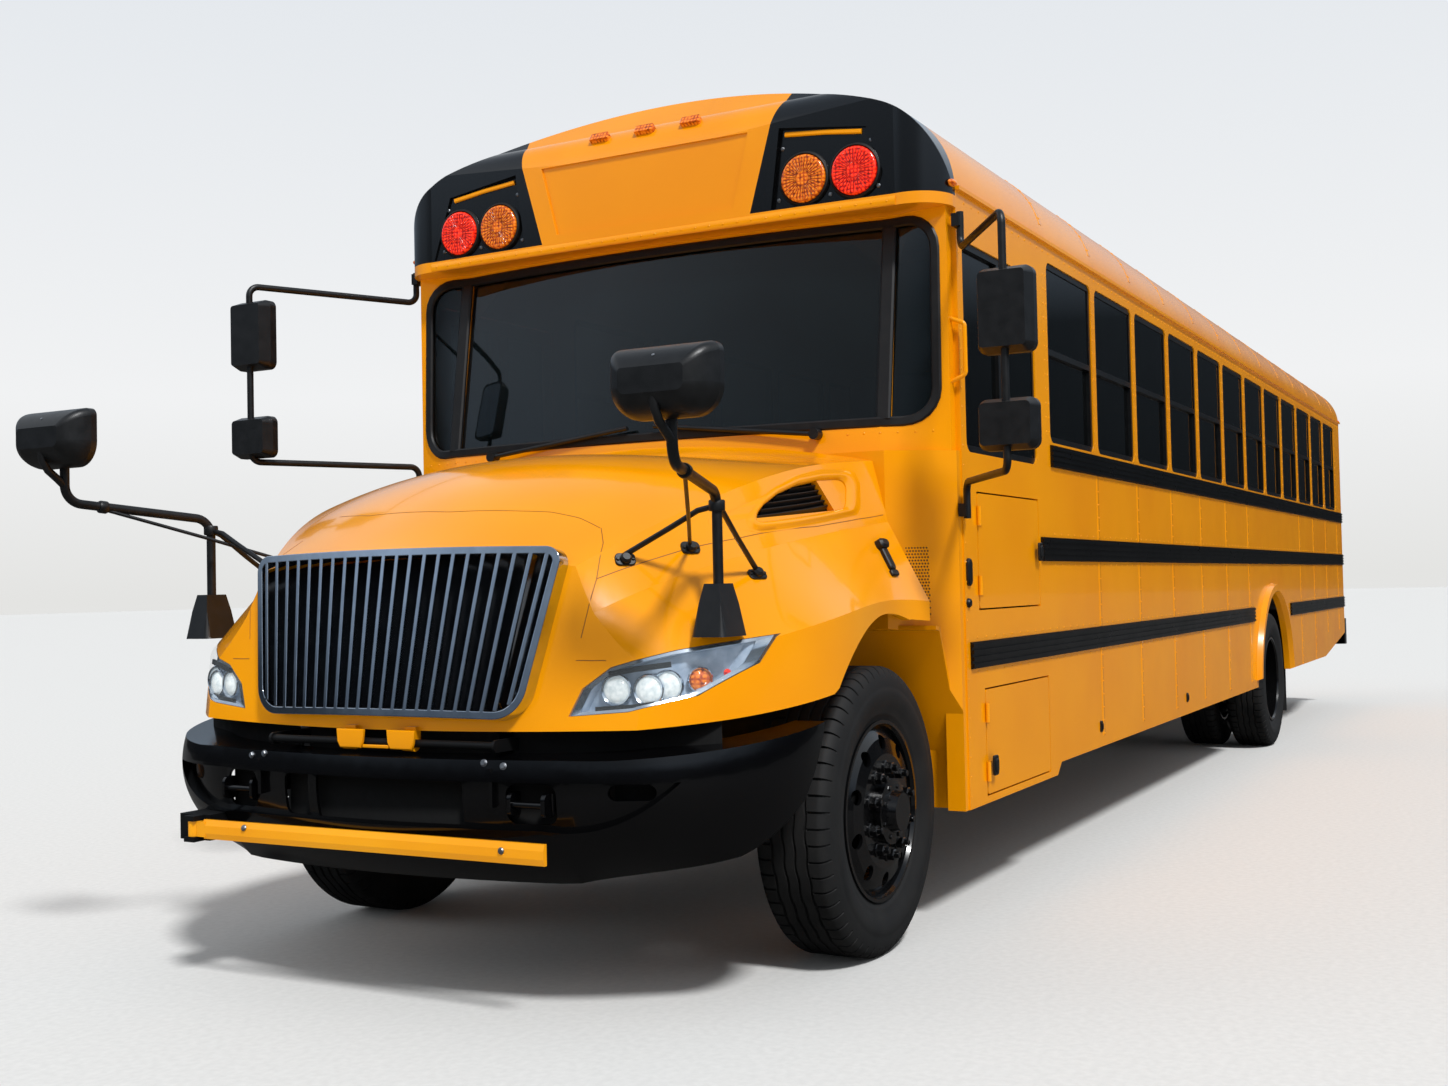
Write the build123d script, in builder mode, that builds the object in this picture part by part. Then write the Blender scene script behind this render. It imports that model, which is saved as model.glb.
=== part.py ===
from build123d import *
from math import atan2, cos, degrees, radians, sin, tan
import os

os.makedirs("parts", exist_ok=True)

# The whole bus. X points forward, Y to the driver's side, Z up from the road.
wheelbase = 7010
front_reach = 1500
rear_reach = 4110
front_axle_x = (wheelbase + rear_reach - front_reach) / 2
rear_axle_x = front_axle_x - wheelbase
fit_gap = 0.3

# The body shell: flat sides, a crowned roof on tight shoulders
body_half_width = 1219
wall = 40
body_front_x = front_axle_x - 520
body_rear_x = rear_axle_x - 3960
body_length = body_front_x - body_rear_x
eave_z = 2640
roof_top_z = 3150
shoulder_radius = 350
floor_top_z = 1010
floor_thickness = 40
rise = roof_top_z - eave_z
shoulder_y = body_half_width - shoulder_radius
crown_radius = (shoulder_y**2 + rise**2 - shoulder_radius**2) / (2 * (rise - shoulder_radius))
crown_z = roof_top_z - crown_radius
shoulder_angle = degrees(atan2(eave_z - crown_z, shoulder_y))
inner_half_width = body_half_width - wall

# Passenger windows, twelve a side
window_count = 12
window_pitch = 753
pillar_width = 66
window_front_x = front_axle_x - 1613
window_sill_z = 1808
window_top_z = 2575
window_width = window_pitch - pillar_width
window_height = window_top_z - window_sill_z
window_corner = 45
sash_frame = 26
sash_depth = 30
meeting_rail_z = 2195
glass_thickness = 6

# Driver's window, panel doors and the entry doorway
driver_window_front_x = front_axle_x - 575
driver_window_rear_x = front_axle_x - 1420
driver_window_sill_z = 1701
driver_window_top_z = 2475
door_gap = 6
panel_door_thickness = 18
access_front_x = front_axle_x - 667
access_rear_x = front_axle_x - 1415
access_low_z = 1124
access_top_z = 1560
battery_front_x = front_axle_x - 707
battery_rear_x = front_axle_x - 1500
battery_low_z = 440
battery_top_z = 836
entry_front_x = front_axle_x - 590
entry_rear_x = front_axle_x - 1430
entry_low_z = 420
entry_top_z = 2480
leaf_thickness = 34

# Skirt and rear wheel arch
deep_skirt_z = 414
deep_skirt_rear_x = front_axle_x - 1593
skirt_z = 463
skirt_step = 62
rear_skirt_z = 510
tail_slope_x = rear_axle_x - 2640
tail_z = 670
arch_radius = 680
arch_centre_z = 420
arch_ring_width = 70
arch_ring_proud = 35

# Rub rails: side, front end, rear end, lower edge and upper edge of each run
rail_proud = 14
rail_rows = (
    (1, front_axle_x - 1605, body_rear_x + 30, 1703, 1796),
    (1, front_axle_x - 1440, body_rear_x + 30, 1307, 1406),
    (1, front_axle_x - 560, rear_axle_x + arch_radius + 95, 914, 1011),
    (1, rear_axle_x - arch_radius - 95, body_rear_x + 30, 914, 1011),
    (-1, front_axle_x - 1605, body_rear_x + 30, 1703, 1796),
    (-1, front_axle_x - 1440, body_rear_x + 30, 1307, 1406),
    (-1, front_axle_x - 1440, rear_axle_x + arch_radius + 95, 914, 1011),
    (-1, rear_axle_x - arch_radius - 95, body_rear_x + 30, 914, 1011),
)

# Front cap over the windshield, windshield and cowl
cap_face_x = front_axle_x - 345
cap_low_z = 2580
cap_face_top_z = 2990
cap_corner = 150
cap_edge = 85
windshield_low_x = front_axle_x - 310
windshield_high_x = front_axle_x - 440
windshield_sag = 70
windshield_divider_y = 960
pillar_front_x = front_axle_x - 470
windshield_base_z = 1700
glass_low_z = 1815
glass_top_z = 2545
glass_half_width = 1150
cowl_face_x = front_axle_x - 300
cowl_corner_y = 1010
cowl_low_z = 414

# Tyres and wheels
tyre_radius = 478
tyre_width = 270
rim_seat_radius = 290
rim_flange_radius = 299
front_wheel_y = 985
rear_outer_y = 1080
dual_spacing = 337
rear_inner_y = rear_outer_y - dual_spacing
dual_middle_y = (rear_outer_y + rear_inner_y) / 2
disc_outset = 128
hub_radius = 108
kingpin_y = 862

# Ladder frame
rail_outer_y = 432
rail_depth = 254
rail_flange = 76
rail_web = 9
frame_low_z = 618
frame_top_z = frame_low_z + rail_depth
frame_front_x = front_axle_x + 1040
frame_rear_x = body_rear_x
cross_member_width = 70
cross_member_height = 66

# Sections of the hood from rear to front. Each row: station from the front
# axle, lean of its plane in degrees, then half widths and heights of the
# fender's outer corner, the fold where the hood side stands on the fender,
# the shoulder of the hood top, and the height of the crown
hood_rows = (
    (-300, 0, 1168, 1165, 1020, 1445, 965, 1665, 1765),
    (330, 1.5, 1168, 1150, 965, 1375, 890, 1590, 1700),
    (790, 4.5, 1095, 1080, 860, 1290, 770, 1455, 1592),
    (1070, 8, 865, 1010, 715, 1195, 640, 1335, 1435),
    (1195, 10, 650, 960, 615, 1120, 588, 1275, 1362),
)
hood_face_x = front_axle_x + hood_rows[-1][0]
hood_low_z = 815
hood_wall = 20
hood_inner_shifts = (-2 * hood_wall, 0, -0.4 * hood_wall, -0.8 * hood_wall, -hood_wall)
shoulder_round = 105
fender_round = 110
nose_radius = 3600
front_arch_radius = 630
front_arch_z = 500
hood_pivot_x = front_axle_x + 1205
hood_pivot_z = 790
pivot_shaft_radius = 12
pivot_lug_y = 115

# Side vents of the hood, seen from the side, as offsets from the front axle
vent_tip = (650, 1428)
vent_crest = (350, 1535)
vent_top = (90, 1580)
vent_rear = (30, 1478)

# Grille: half widths and heights of its top and bottom
grille_top_y = 597
grille_top_z = 1358
grille_low_y = 500
grille_low_z = 862
grille_lean = 10
grille_band = 22
grille_top_round = 45
grille_low_round = 105
grille_depth = 46
grille_bars = 22
grille_bar_width = 13


# Hinge barrels of the doors and hatches, just outside the panels they carry
hinge_radius = 8
hinge_length = 70
hinge_offset = hinge_radius + fit_gap
hinge_leaf = 5


# Chassis frame: two channel rails tied by cross members, with spring hangers
with BuildPart() as chassis_frame:
    for side in (1, -1):
        with BuildSketch(Plane.YZ.offset(frame_rear_x)):
            with Locations((side * (rail_outer_y - rail_flange / 2), frame_low_z + rail_depth / 2)):
                Rectangle(rail_flange, rail_depth)
            with Locations(
                (side * (rail_outer_y - rail_web - rail_flange / 2), frame_low_z + rail_depth / 2)
            ):
                Rectangle(rail_flange, rail_depth - 2 * rail_web, mode=Mode.SUBTRACT)
        extrude(amount=frame_front_x - frame_rear_x)
    # Cross members between the webs
    cross_member_x = (
        frame_front_x - 40,
        front_axle_x - 1000,
        front_axle_x - 2300,
        front_axle_x - 3700,
        rear_axle_x + 900,
        rear_axle_x - 900,
        rear_axle_x - 2300,
        frame_rear_x + 60,
    )
    for x in cross_member_x:
        with Locations((x, 0, frame_top_z - cross_member_height / 2)):
            Box(cross_member_width, 2 * (rail_outer_y - rail_web), cross_member_height)
    # Two arms on the webs carry the shaft on which the hood tilts
    arm_half = pivot_shaft_radius + 6
    for side in (1, -1):
        with BuildSketch(Plane.XZ.offset(-side * (rail_outer_y - rail_web / 2))):
            with Locations(((frame_front_x - 60 + hood_pivot_x) / 2, hood_pivot_z)):
                SlotOverall(hood_pivot_x - frame_front_x + 60 + 2 * arm_half, 2 * arm_half)
        extrude(amount=rail_web / 2, both=True)
    with Locations(Location((hood_pivot_x, 0, hood_pivot_z), (90, 0, 0))):
        Cylinder(pivot_shaft_radius, 2 * rail_outer_y - rail_web)

chassis_frame.part.label = "chassis_frame"
export_step(chassis_frame.part, "parts/chassis_frame.step")


# Front axle: a dropped beam on leaf springs, with the kingpin eyes at its ends
front_beam_z = 405
beam_height = 90
beam_width = 70
beam_flat = 62
kingpin_eye_radius = 35
kingpin_eye_half = 45
kingpin_z = tyre_radius
spring_y = rail_outer_y - rail_flange / 2
spring_width = 76
spring_eye_z = 575
with BuildPart() as front_axle:
    with BuildSketch(Plane.YZ.offset(front_axle_x - beam_width / 2)):
        with BuildLine():
            Polyline(
                (-kingpin_y, kingpin_z + kingpin_eye_half),
                (-kingpin_y, kingpin_z - kingpin_eye_half),
                (beam_flat - kingpin_y, kingpin_z - kingpin_eye_half),
                (-spring_y - 130, front_beam_z - beam_height / 2),
                (spring_y + 130, front_beam_z - beam_height / 2),
                (kingpin_y - beam_flat, kingpin_z - kingpin_eye_half),
                (kingpin_y, kingpin_z - kingpin_eye_half),
                (kingpin_y, kingpin_z + kingpin_eye_half),
                (spring_y + 110, front_beam_z + beam_height / 2),
                (-spring_y - 110, front_beam_z + beam_height / 2),
                close=True,
            )
        make_face()
    extrude(amount=beam_width)
    for side in (1, -1):
        with Locations((front_axle_x, side * kingpin_y, kingpin_z)):
            Cylinder(kingpin_eye_radius, 2 * kingpin_eye_half)
        spring_half = 620
        with BuildSketch(Plane.XZ.offset(-side * spring_y - spring_width / 2)):
            with BuildLine():
                ThreePointArc(
                    (front_axle_x - spring_half, spring_eye_z),
                    (front_axle_x, front_beam_z + beam_height / 2 - 6),
                    (front_axle_x + spring_half, spring_eye_z),
                )
                Line(
                    (front_axle_x + spring_half, spring_eye_z),
                    (front_axle_x + spring_half, spring_eye_z + 43 - fit_gap),
                )
                ThreePointArc(
                    (front_axle_x + spring_half, spring_eye_z + 43 - fit_gap),
                    (front_axle_x, front_beam_z + beam_height / 2 + 60),
                    (front_axle_x - spring_half, spring_eye_z + 43 - fit_gap),
                )
                Line(
                    (front_axle_x - spring_half, spring_eye_z + 43 - fit_gap),
                    (front_axle_x - spring_half, spring_eye_z),
                )
            make_face()
        extrude(amount=spring_width)

front_axle.part.label = "front_axle"
export_step(front_axle.part, "parts/front_axle.step")


# Rear axle: tube, differential housing and leaf springs
axle_tube_radius = 68
hub_inset = 55
housing_radius = 210
with BuildPart() as rear_axle:
    with Locations(Location((rear_axle_x, 0, tyre_radius), (90, 0, 0))):
        Cylinder(axle_tube_radius, 2 * (dual_middle_y - hub_inset - fit_gap))
    with Locations((rear_axle_x, 0, tyre_radius)):
        Sphere(housing_radius)
        with Locations((housing_radius, 0, 0)):
            Box(120, 150, 150)
    for side in (1, -1):
        spring_half = 700
        with BuildSketch(Plane.XZ.offset(-side * spring_y - spring_width / 2)):
            with BuildLine():
                ThreePointArc(
                    (rear_axle_x - spring_half, spring_eye_z),
                    (rear_axle_x, tyre_radius - axle_tube_radius - 80),
                    (rear_axle_x + spring_half, spring_eye_z),
                )
                Line(
                    (rear_axle_x + spring_half, spring_eye_z),
                    (rear_axle_x + spring_half, frame_low_z - fit_gap),
                )
                ThreePointArc(
                    (rear_axle_x + spring_half, frame_low_z - fit_gap),
                    (rear_axle_x, tyre_radius - 10),
                    (rear_axle_x - spring_half, frame_low_z - fit_gap),
                )
                Line(
                    (rear_axle_x - spring_half, frame_low_z - fit_gap),
                    (rear_axle_x - spring_half, spring_eye_z),
                )
            make_face()
        extrude(amount=spring_width)

rear_axle.part.label = "rear_axle"
export_step(rear_axle.part, "parts/rear_axle.step")


# Power train: engine block, gearbox and the propeller shaft to the rear axle
engine_front_x = front_axle_x + 760
engine_length = 960
engine_width = 640
engine_low_z = 640
engine_top_z = 1330
gearbox_length = 720
shaft_radius = 50
with BuildPart() as power_train:
    with Locations((engine_front_x - engine_length / 2, 0, (engine_low_z + engine_top_z) / 2)):
        Box(engine_length, engine_width, engine_top_z - engine_low_z)
    with Locations((engine_front_x - engine_length - gearbox_length / 2, 0, engine_low_z + 130)):
        Box(gearbox_length, 420, 300)
    shaft_start = (engine_front_x - engine_length - gearbox_length, 0, engine_low_z + 100)
    shaft_end = (rear_axle_x + housing_radius + 60 + 3, 0, tyre_radius)
    shaft_plane = Plane(origin=shaft_start, z_dir=Vector(*shaft_end) - Vector(*shaft_start))
    with BuildSketch(shaft_plane):
        Circle(shaft_radius)
    extrude(amount=(Vector(*shaft_end) - Vector(*shaft_start)).length)

power_train.part.label = "power_train"
export_step(power_train.part, "parts/power_train.step")


# Radiator behind the grille, standing on the first cross member
radiator_depth = 110
radiator_x = frame_front_x - 40 - cross_member_width / 2 - radiator_depth / 2 - fit_gap
with BuildPart() as radiator:
    with Locations((radiator_x, 0, 990)):
        Box(radiator_depth, 2 * (rail_outer_y - rail_flange - fit_gap), 620)

radiator.part.label = "radiator"
export_step(radiator.part, "parts/radiator.step")


# Fuel tank between the rails behind the rear axle
tank_length = 1250
with BuildPart() as fuel_tank:
    with Locations((rear_axle_x - 1620, 0, frame_low_z + 20)):
        Box(tank_length, 2 * (rail_outer_y - rail_flange - fit_gap), 420)
    fillet(fuel_tank.edges().filter_by(Axis.X), radius=60)

fuel_tank.part.label = "fuel_tank"
export_step(fuel_tank.part, "parts/fuel_tank.step")


# Exhaust: muffler and tail pipe outside the right rail
muffler_x = front_axle_x - 3000
muffler_y = -640
exhaust_z = 700
pipe_radius = 50
with BuildPart() as exhaust:
    with Locations(Location((muffler_x, muffler_y, exhaust_z), (0, 90, 0))):
        Cylinder(130, 1100)
        Cylinder(pipe_radius, 2300)
    with Locations((muffler_x, (muffler_y - rail_outer_y) / 2, exhaust_z)):
        Box(60, -muffler_y - rail_outer_y - 2 * fit_gap, 60)

exhaust.part.label = "exhaust"
export_step(exhaust.part, "parts/exhaust.step")


# Floor: a plate on cross sills, cut out over the rear wheels and at the steps
sill_depth = floor_top_z - floor_thickness - frame_top_z
wheelhouse_wall = 25
wheelhouse_inner_y = 560
wheelhouse_radius = arch_radius + 20
stepwell_floor_z = 430
step_count = 3
step_rise = (floor_top_z - stepwell_floor_z) / step_count
stepwell_inner_y = -470
stepwell_wall = 20
tread_depth = (inner_half_width + stepwell_inner_y) / step_count
battery_box_depth = 420
housing_half = ((wheelhouse_radius**2) - (floor_top_z - arch_centre_z) ** 2) ** 0.5
floor_front_x = body_front_x - wall
with BuildPart() as floor:
    with BuildSketch(Plane.XY.offset(floor_top_z - floor_thickness)):
        with Locations(((body_front_x + body_rear_x) / 2, 0)):
            Rectangle(body_length - 2 * wall, 2 * inner_half_width - 2 * fit_gap)
        # Stepwell opening on the right, out to the floor's front edge
        well_rear_x = entry_rear_x - stepwell_wall - fit_gap
        well_inner_y = stepwell_inner_y + stepwell_wall + fit_gap
        with Locations(((floor_front_x + well_rear_x) / 2, (-inner_half_width + well_inner_y) / 2)):
            Rectangle(
                floor_front_x - well_rear_x, inner_half_width + well_inner_y, mode=Mode.SUBTRACT
            )
        # Openings over the rear wheels
        for side in (1, -1):
            with Locations((rear_axle_x, side * (wheelhouse_inner_y + inner_half_width) / 2)):
                Rectangle(
                    2 * housing_half, inner_half_width - wheelhouse_inner_y, mode=Mode.SUBTRACT
                )
    extrude(amount=floor_thickness)
    # Cross sills
    sill_pitch = 1140
    sill_x = [front_axle_x - 1650 - i * sill_pitch for i in range(9)]
    for x in sill_x:
        if abs(x - rear_axle_x) > wheelhouse_radius + 60:
            with Locations((x, 0, frame_top_z + sill_depth / 2)):
                Box(60, 2 * inner_half_width - 2 * fit_gap, sill_depth)

floor.part.label = "floor"
export_step(floor.part, "parts/floor.step")


# Floor wells: the arched rear wheel housings that stand on the floor, the
# stepwell let into it behind the entry door, and the battery box hung under it
with BuildPart() as floor_wells:
    for side in (1, -1):
        house_plane = Plane.XZ.offset(-side * (wheelhouse_inner_y + inner_half_width - fit_gap) / 2)
        house_width = inner_half_width - fit_gap - wheelhouse_inner_y
        with BuildSketch(house_plane):
            with Locations((rear_axle_x, arch_centre_z)):
                Circle(wheelhouse_radius + wheelhouse_wall)
                Circle(wheelhouse_radius, mode=Mode.SUBTRACT)
            with Locations((rear_axle_x, floor_top_z - 1000)):
                Rectangle(4 * wheelhouse_radius, 2000, mode=Mode.SUBTRACT)
        extrude(amount=house_width / 2, both=True)
        with BuildSketch(Plane.XZ.offset(-side * (wheelhouse_inner_y + wheelhouse_wall / 2))):
            with Locations((rear_axle_x, arch_centre_z)):
                Circle(wheelhouse_radius + wheelhouse_wall)
            with Locations((rear_axle_x, floor_top_z - 1000)):
                Rectangle(4 * wheelhouse_radius, 2000, mode=Mode.SUBTRACT)
        extrude(amount=wheelhouse_wall / 2, both=True)
    # Stepwell: risers and treads from the doorway up to the floor
    with BuildSketch(Plane.YZ.offset(entry_rear_x)):
        with BuildLine():
            step_points = [(-inner_half_width + fit_gap, stepwell_floor_z)]
            for i in range(step_count):
                y = -inner_half_width + fit_gap + i * tread_depth
                step_points.append((y + tread_depth, stepwell_floor_z + i * step_rise))
                step_points.append((y + tread_depth, stepwell_floor_z + (i + 1) * step_rise))
            under_points = []
            for i in range(step_count):
                y = -inner_half_width + fit_gap + i * tread_depth
                under_points.append((y, stepwell_floor_z + i * step_rise - stepwell_wall))
                under_points.append(
                    (y + tread_depth + stepwell_wall, stepwell_floor_z + i * step_rise - stepwell_wall)
                )
            under_points[2] = (under_points[1][0], under_points[2][1])
            under_points[4] = (under_points[3][0], under_points[4][1])
            last = (stepwell_inner_y + stepwell_wall, floor_top_z)
            Polyline(*step_points, last, *reversed(under_points), close=True)
        make_face()
    extrude(amount=entry_front_x - entry_rear_x)
    # Stepwell end walls, down to the lowest tread
    for x in (entry_rear_x - stepwell_wall, entry_front_x):
        with BuildSketch(Plane.YZ.offset(x)):
            with BuildLine():
                Polyline(
                    (-inner_half_width + fit_gap, stepwell_floor_z - stepwell_wall),
                    (-inner_half_width + fit_gap + tread_depth, stepwell_floor_z - stepwell_wall),
                    (stepwell_inner_y + stepwell_wall, floor_top_z - step_rise - stepwell_wall),
                    (stepwell_inner_y + stepwell_wall, floor_top_z),
                    (-inner_half_width + fit_gap, floor_top_z),
                    close=True,
                )
            make_face()
        extrude(amount=stepwell_wall)
    # Battery box: an open tray hung from the floor behind its door
    box_wall = 15
    box_top_z = floor_top_z - floor_thickness
    with BuildSketch(Plane.XY.offset(battery_low_z)):
        with Locations(
            (
                (battery_front_x + battery_rear_x) / 2,
                inner_half_width - fit_gap - battery_box_depth / 2,
            )
        ):
            Rectangle(battery_front_x - battery_rear_x, battery_box_depth)
    extrude(amount=box_top_z - battery_low_z)
    with BuildSketch(Plane.XY.offset(battery_low_z + box_wall)):
        with Locations(
            (
                (battery_front_x + battery_rear_x) / 2,
                inner_half_width - fit_gap - battery_box_depth / 2 + box_wall,
            )
        ):
            Rectangle(battery_front_x - battery_rear_x - 2 * box_wall, battery_box_depth)
    extrude(amount=box_top_z - battery_low_z - box_wall, mode=Mode.SUBTRACT)
    # Two batteries on the tray
    battery_height = 240
    for i in (-1, 1):
        with Locations(
            (
                (battery_front_x + battery_rear_x) / 2 + i * 180,
                inner_half_width - battery_box_depth + 150,
                battery_low_z + box_wall + battery_height / 2,
            )
        ):
            Box(330, 175, battery_height)

floor_wells.part.label = "floor_wells"
export_step(floor_wells.part, "parts/floor_wells.step")


# The two side walls. Both have the windows, the skirt and the wheel arch;
# the left has the driver's window and two panel doorways, the right the entry
for side, side_name in ((1, "left"), (-1, "right")):
    # Sketch plane on the wall's outer face, X forward and Z up
    outer_plane = Plane(
        origin=(0, side * body_half_width, 0), x_dir=(side, 0, 0), z_dir=(0, -side, 0)
    )
    with BuildPart() as side_wall:
        with BuildSketch(outer_plane):
            with BuildLine():
                Polyline(
                    (side * body_front_x, deep_skirt_z),
                    (side * body_front_x, eave_z),
                    (side * body_rear_x, eave_z),
                    (side * body_rear_x, tail_z),
                    (side * tail_slope_x, rear_skirt_z),
                    (side * rear_axle_x, rear_skirt_z),
                    (side * rear_axle_x, skirt_z),
                    (side * (deep_skirt_rear_x - skirt_step), skirt_z),
                    (side * deep_skirt_rear_x, deep_skirt_z),
                    close=True,
                )
            make_face()
            with Locations((side * rear_axle_x, arch_centre_z)):
                Circle(arch_radius, mode=Mode.SUBTRACT)
            # Passenger windows
            first_window = window_front_x - window_width / 2
            for i in range(window_count):
                with Locations(
                    (side * (first_window - i * window_pitch), window_sill_z + window_height / 2)
                ):
                    RectangleRounded(window_width, window_height, window_corner, mode=Mode.SUBTRACT)
            if side == 1:
                # Driver's window and the two panel doorways
                with Locations(
                    (
                        (driver_window_front_x + driver_window_rear_x) / 2,
                        (driver_window_sill_z + driver_window_top_z) / 2,
                    )
                ):
                    RectangleRounded(
                        driver_window_front_x - driver_window_rear_x,
                        driver_window_top_z - driver_window_sill_z,
                        window_corner,
                        mode=Mode.SUBTRACT,
                    )
                with Locations(
                    ((access_front_x + access_rear_x) / 2, (access_low_z + access_top_z) / 2)
                ):
                    Rectangle(
                        access_front_x - access_rear_x, access_top_z - access_low_z, mode=Mode.SUBTRACT
                    )
                with Locations(
                    ((battery_front_x + battery_rear_x) / 2, (battery_low_z + battery_top_z) / 2)
                ):
                    Rectangle(
                        battery_front_x - battery_rear_x,
                        battery_top_z - battery_low_z,
                        mode=Mode.SUBTRACT,
                    )
            else:
                # Entry doorway, open to the skirt's lower edge
                with Locations(
                    (-(entry_front_x + entry_rear_x) / 2, (entry_low_z + entry_top_z) / 2)
                ):
                    Rectangle(
                        entry_front_x - entry_rear_x, entry_top_z - entry_low_z, mode=Mode.SUBTRACT
                    )
        extrude(amount=wall)
        # Flared ring round the wheel arch
        with BuildSketch(outer_plane):
            with Locations((side * rear_axle_x, arch_centre_z)):
                Circle(arch_radius + arch_ring_width)
                Circle(arch_radius, mode=Mode.SUBTRACT)
            with Locations((side * rear_axle_x, rear_skirt_z - 1000)):
                Rectangle(4 * arch_radius, 2000, mode=Mode.SUBTRACT)
        extrude(amount=-arch_ring_proud, taper=20)

    side_wall.part.label = f"{side_name}_side"
    export_step(side_wall.part, f"parts/{side_name}_side.step")


# Roof: one crowned shell from the front cap to the rear wall, with drip rails
hatch_half = 300
hatch_rows = (front_axle_x - 3200, rear_axle_x - 2700)
drip_proud = 16
hatch_curb = 30
hatch_lip = 40
hatch_seat_z = roof_top_z + 6
with BuildPart() as roof:
    with BuildSketch(Plane.YZ.offset(body_rear_x)):
        with BuildLine():
            CenterArc((shoulder_y, eave_z), shoulder_radius, 0, shoulder_angle)
            CenterArc((0, crown_z), crown_radius, shoulder_angle, 180 - 2 * shoulder_angle)
            CenterArc((-shoulder_y, eave_z), shoulder_radius, 180 - shoulder_angle, shoulder_angle)
            Line((-body_half_width, eave_z), (-body_half_width + wall, eave_z))
            CenterArc(
                (-shoulder_y, eave_z), shoulder_radius - wall, 180 - shoulder_angle, shoulder_angle
            )
            CenterArc((0, crown_z), crown_radius - wall, shoulder_angle, 180 - 2 * shoulder_angle)
            CenterArc((shoulder_y, eave_z), shoulder_radius - wall, 0, shoulder_angle)
            Line((body_half_width - wall, eave_z), (body_half_width, eave_z))
        make_face()
        for side in (1, -1):
            with Locations((side * (body_half_width + drip_proud / 2 - 1), eave_z + 12)):
                Rectangle(drip_proud + 2, 14)
    extrude(amount=body_length)
    for x in hatch_rows:
        # A curb levels the crowned roof round each hatch opening
        with Locations((x, 0, hatch_seat_z - fit_gap - 50)):
            Box(2 * (hatch_half + hatch_curb), 2 * (hatch_half + hatch_curb), 100)
        with Locations((x, 0, roof_top_z)):
            Box(2 * hatch_half, 2 * hatch_half, 6 * wall, mode=Mode.SUBTRACT)

roof.part.label = "roof"
export_step(roof.part, "parts/roof.step")


# Roof hatches: shallow lids on a frame, hinged at their front edges
hatch_lid_height = 46
for x, hatch_name in zip(hatch_rows, ("front", "rear")):
    with BuildPart() as hatch:
        with BuildSketch(Plane.XY.offset(hatch_seat_z)):
            with Locations((x, 0)):
                RectangleRounded(2 * (hatch_half + hatch_lip), 2 * (hatch_half + hatch_lip), 60)
        extrude(amount=hatch_lid_height, taper=25)
        with Locations((x, 0, hatch_seat_z - 20)):
            Box(2 * hatch_half - 24, 2 * hatch_half - 24, 40)
        # Hinge barrels along the front edge
        for y in (-hatch_half / 2, hatch_half / 2):
            barrel_place = (x + hatch_half + hatch_lip, y, hatch_seat_z + hinge_radius)
            with Locations(Location(barrel_place, (90, 0, 0))):
                Cylinder(hinge_radius, hinge_length)

    hatch.part.label = f"roof_hatch_{hatch_name}"
    export_step(hatch.part, f"parts/roof_hatch_{hatch_name}.step")


# Rear wall with the emergency doorway and one window on each side of it
rear_door_half = 420
rear_door_low_z = floor_top_z + 15
rear_door_top_z = 2490
rear_window_y = 810
rear_window_width = 480
rear_window_low_z = 1850
rear_window_top_z = 2440
with BuildPart() as rear_wall:
    with BuildSketch(Plane.YZ.offset(body_rear_x)):
        with BuildLine():
            CenterArc((shoulder_y, eave_z), shoulder_radius - wall, 0, shoulder_angle)
            CenterArc((0, crown_z), crown_radius - wall, shoulder_angle, 180 - 2 * shoulder_angle)
            CenterArc(
                (-shoulder_y, eave_z), shoulder_radius - wall, 180 - shoulder_angle, shoulder_angle
            )
            Polyline(
                (-inner_half_width, eave_z),
                (-inner_half_width, frame_top_z + fit_gap),
                (inner_half_width, frame_top_z + fit_gap),
                (inner_half_width, eave_z),
            )
        make_face()
        with Locations((0, (rear_door_low_z + rear_door_top_z) / 2)):
            Rectangle(2 * rear_door_half, rear_door_top_z - rear_door_low_z, mode=Mode.SUBTRACT)
        for side in (1, -1):
            with Locations((side * rear_window_y, (rear_window_low_z + rear_window_top_z) / 2)):
                RectangleRounded(
                    rear_window_width,
                    rear_window_top_z - rear_window_low_z,
                    window_corner,
                    mode=Mode.SUBTRACT,
                )
    extrude(amount=wall)

rear_wall.part.label = "rear_wall"
export_step(rear_wall.part, "parts/rear_wall.step")


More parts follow.
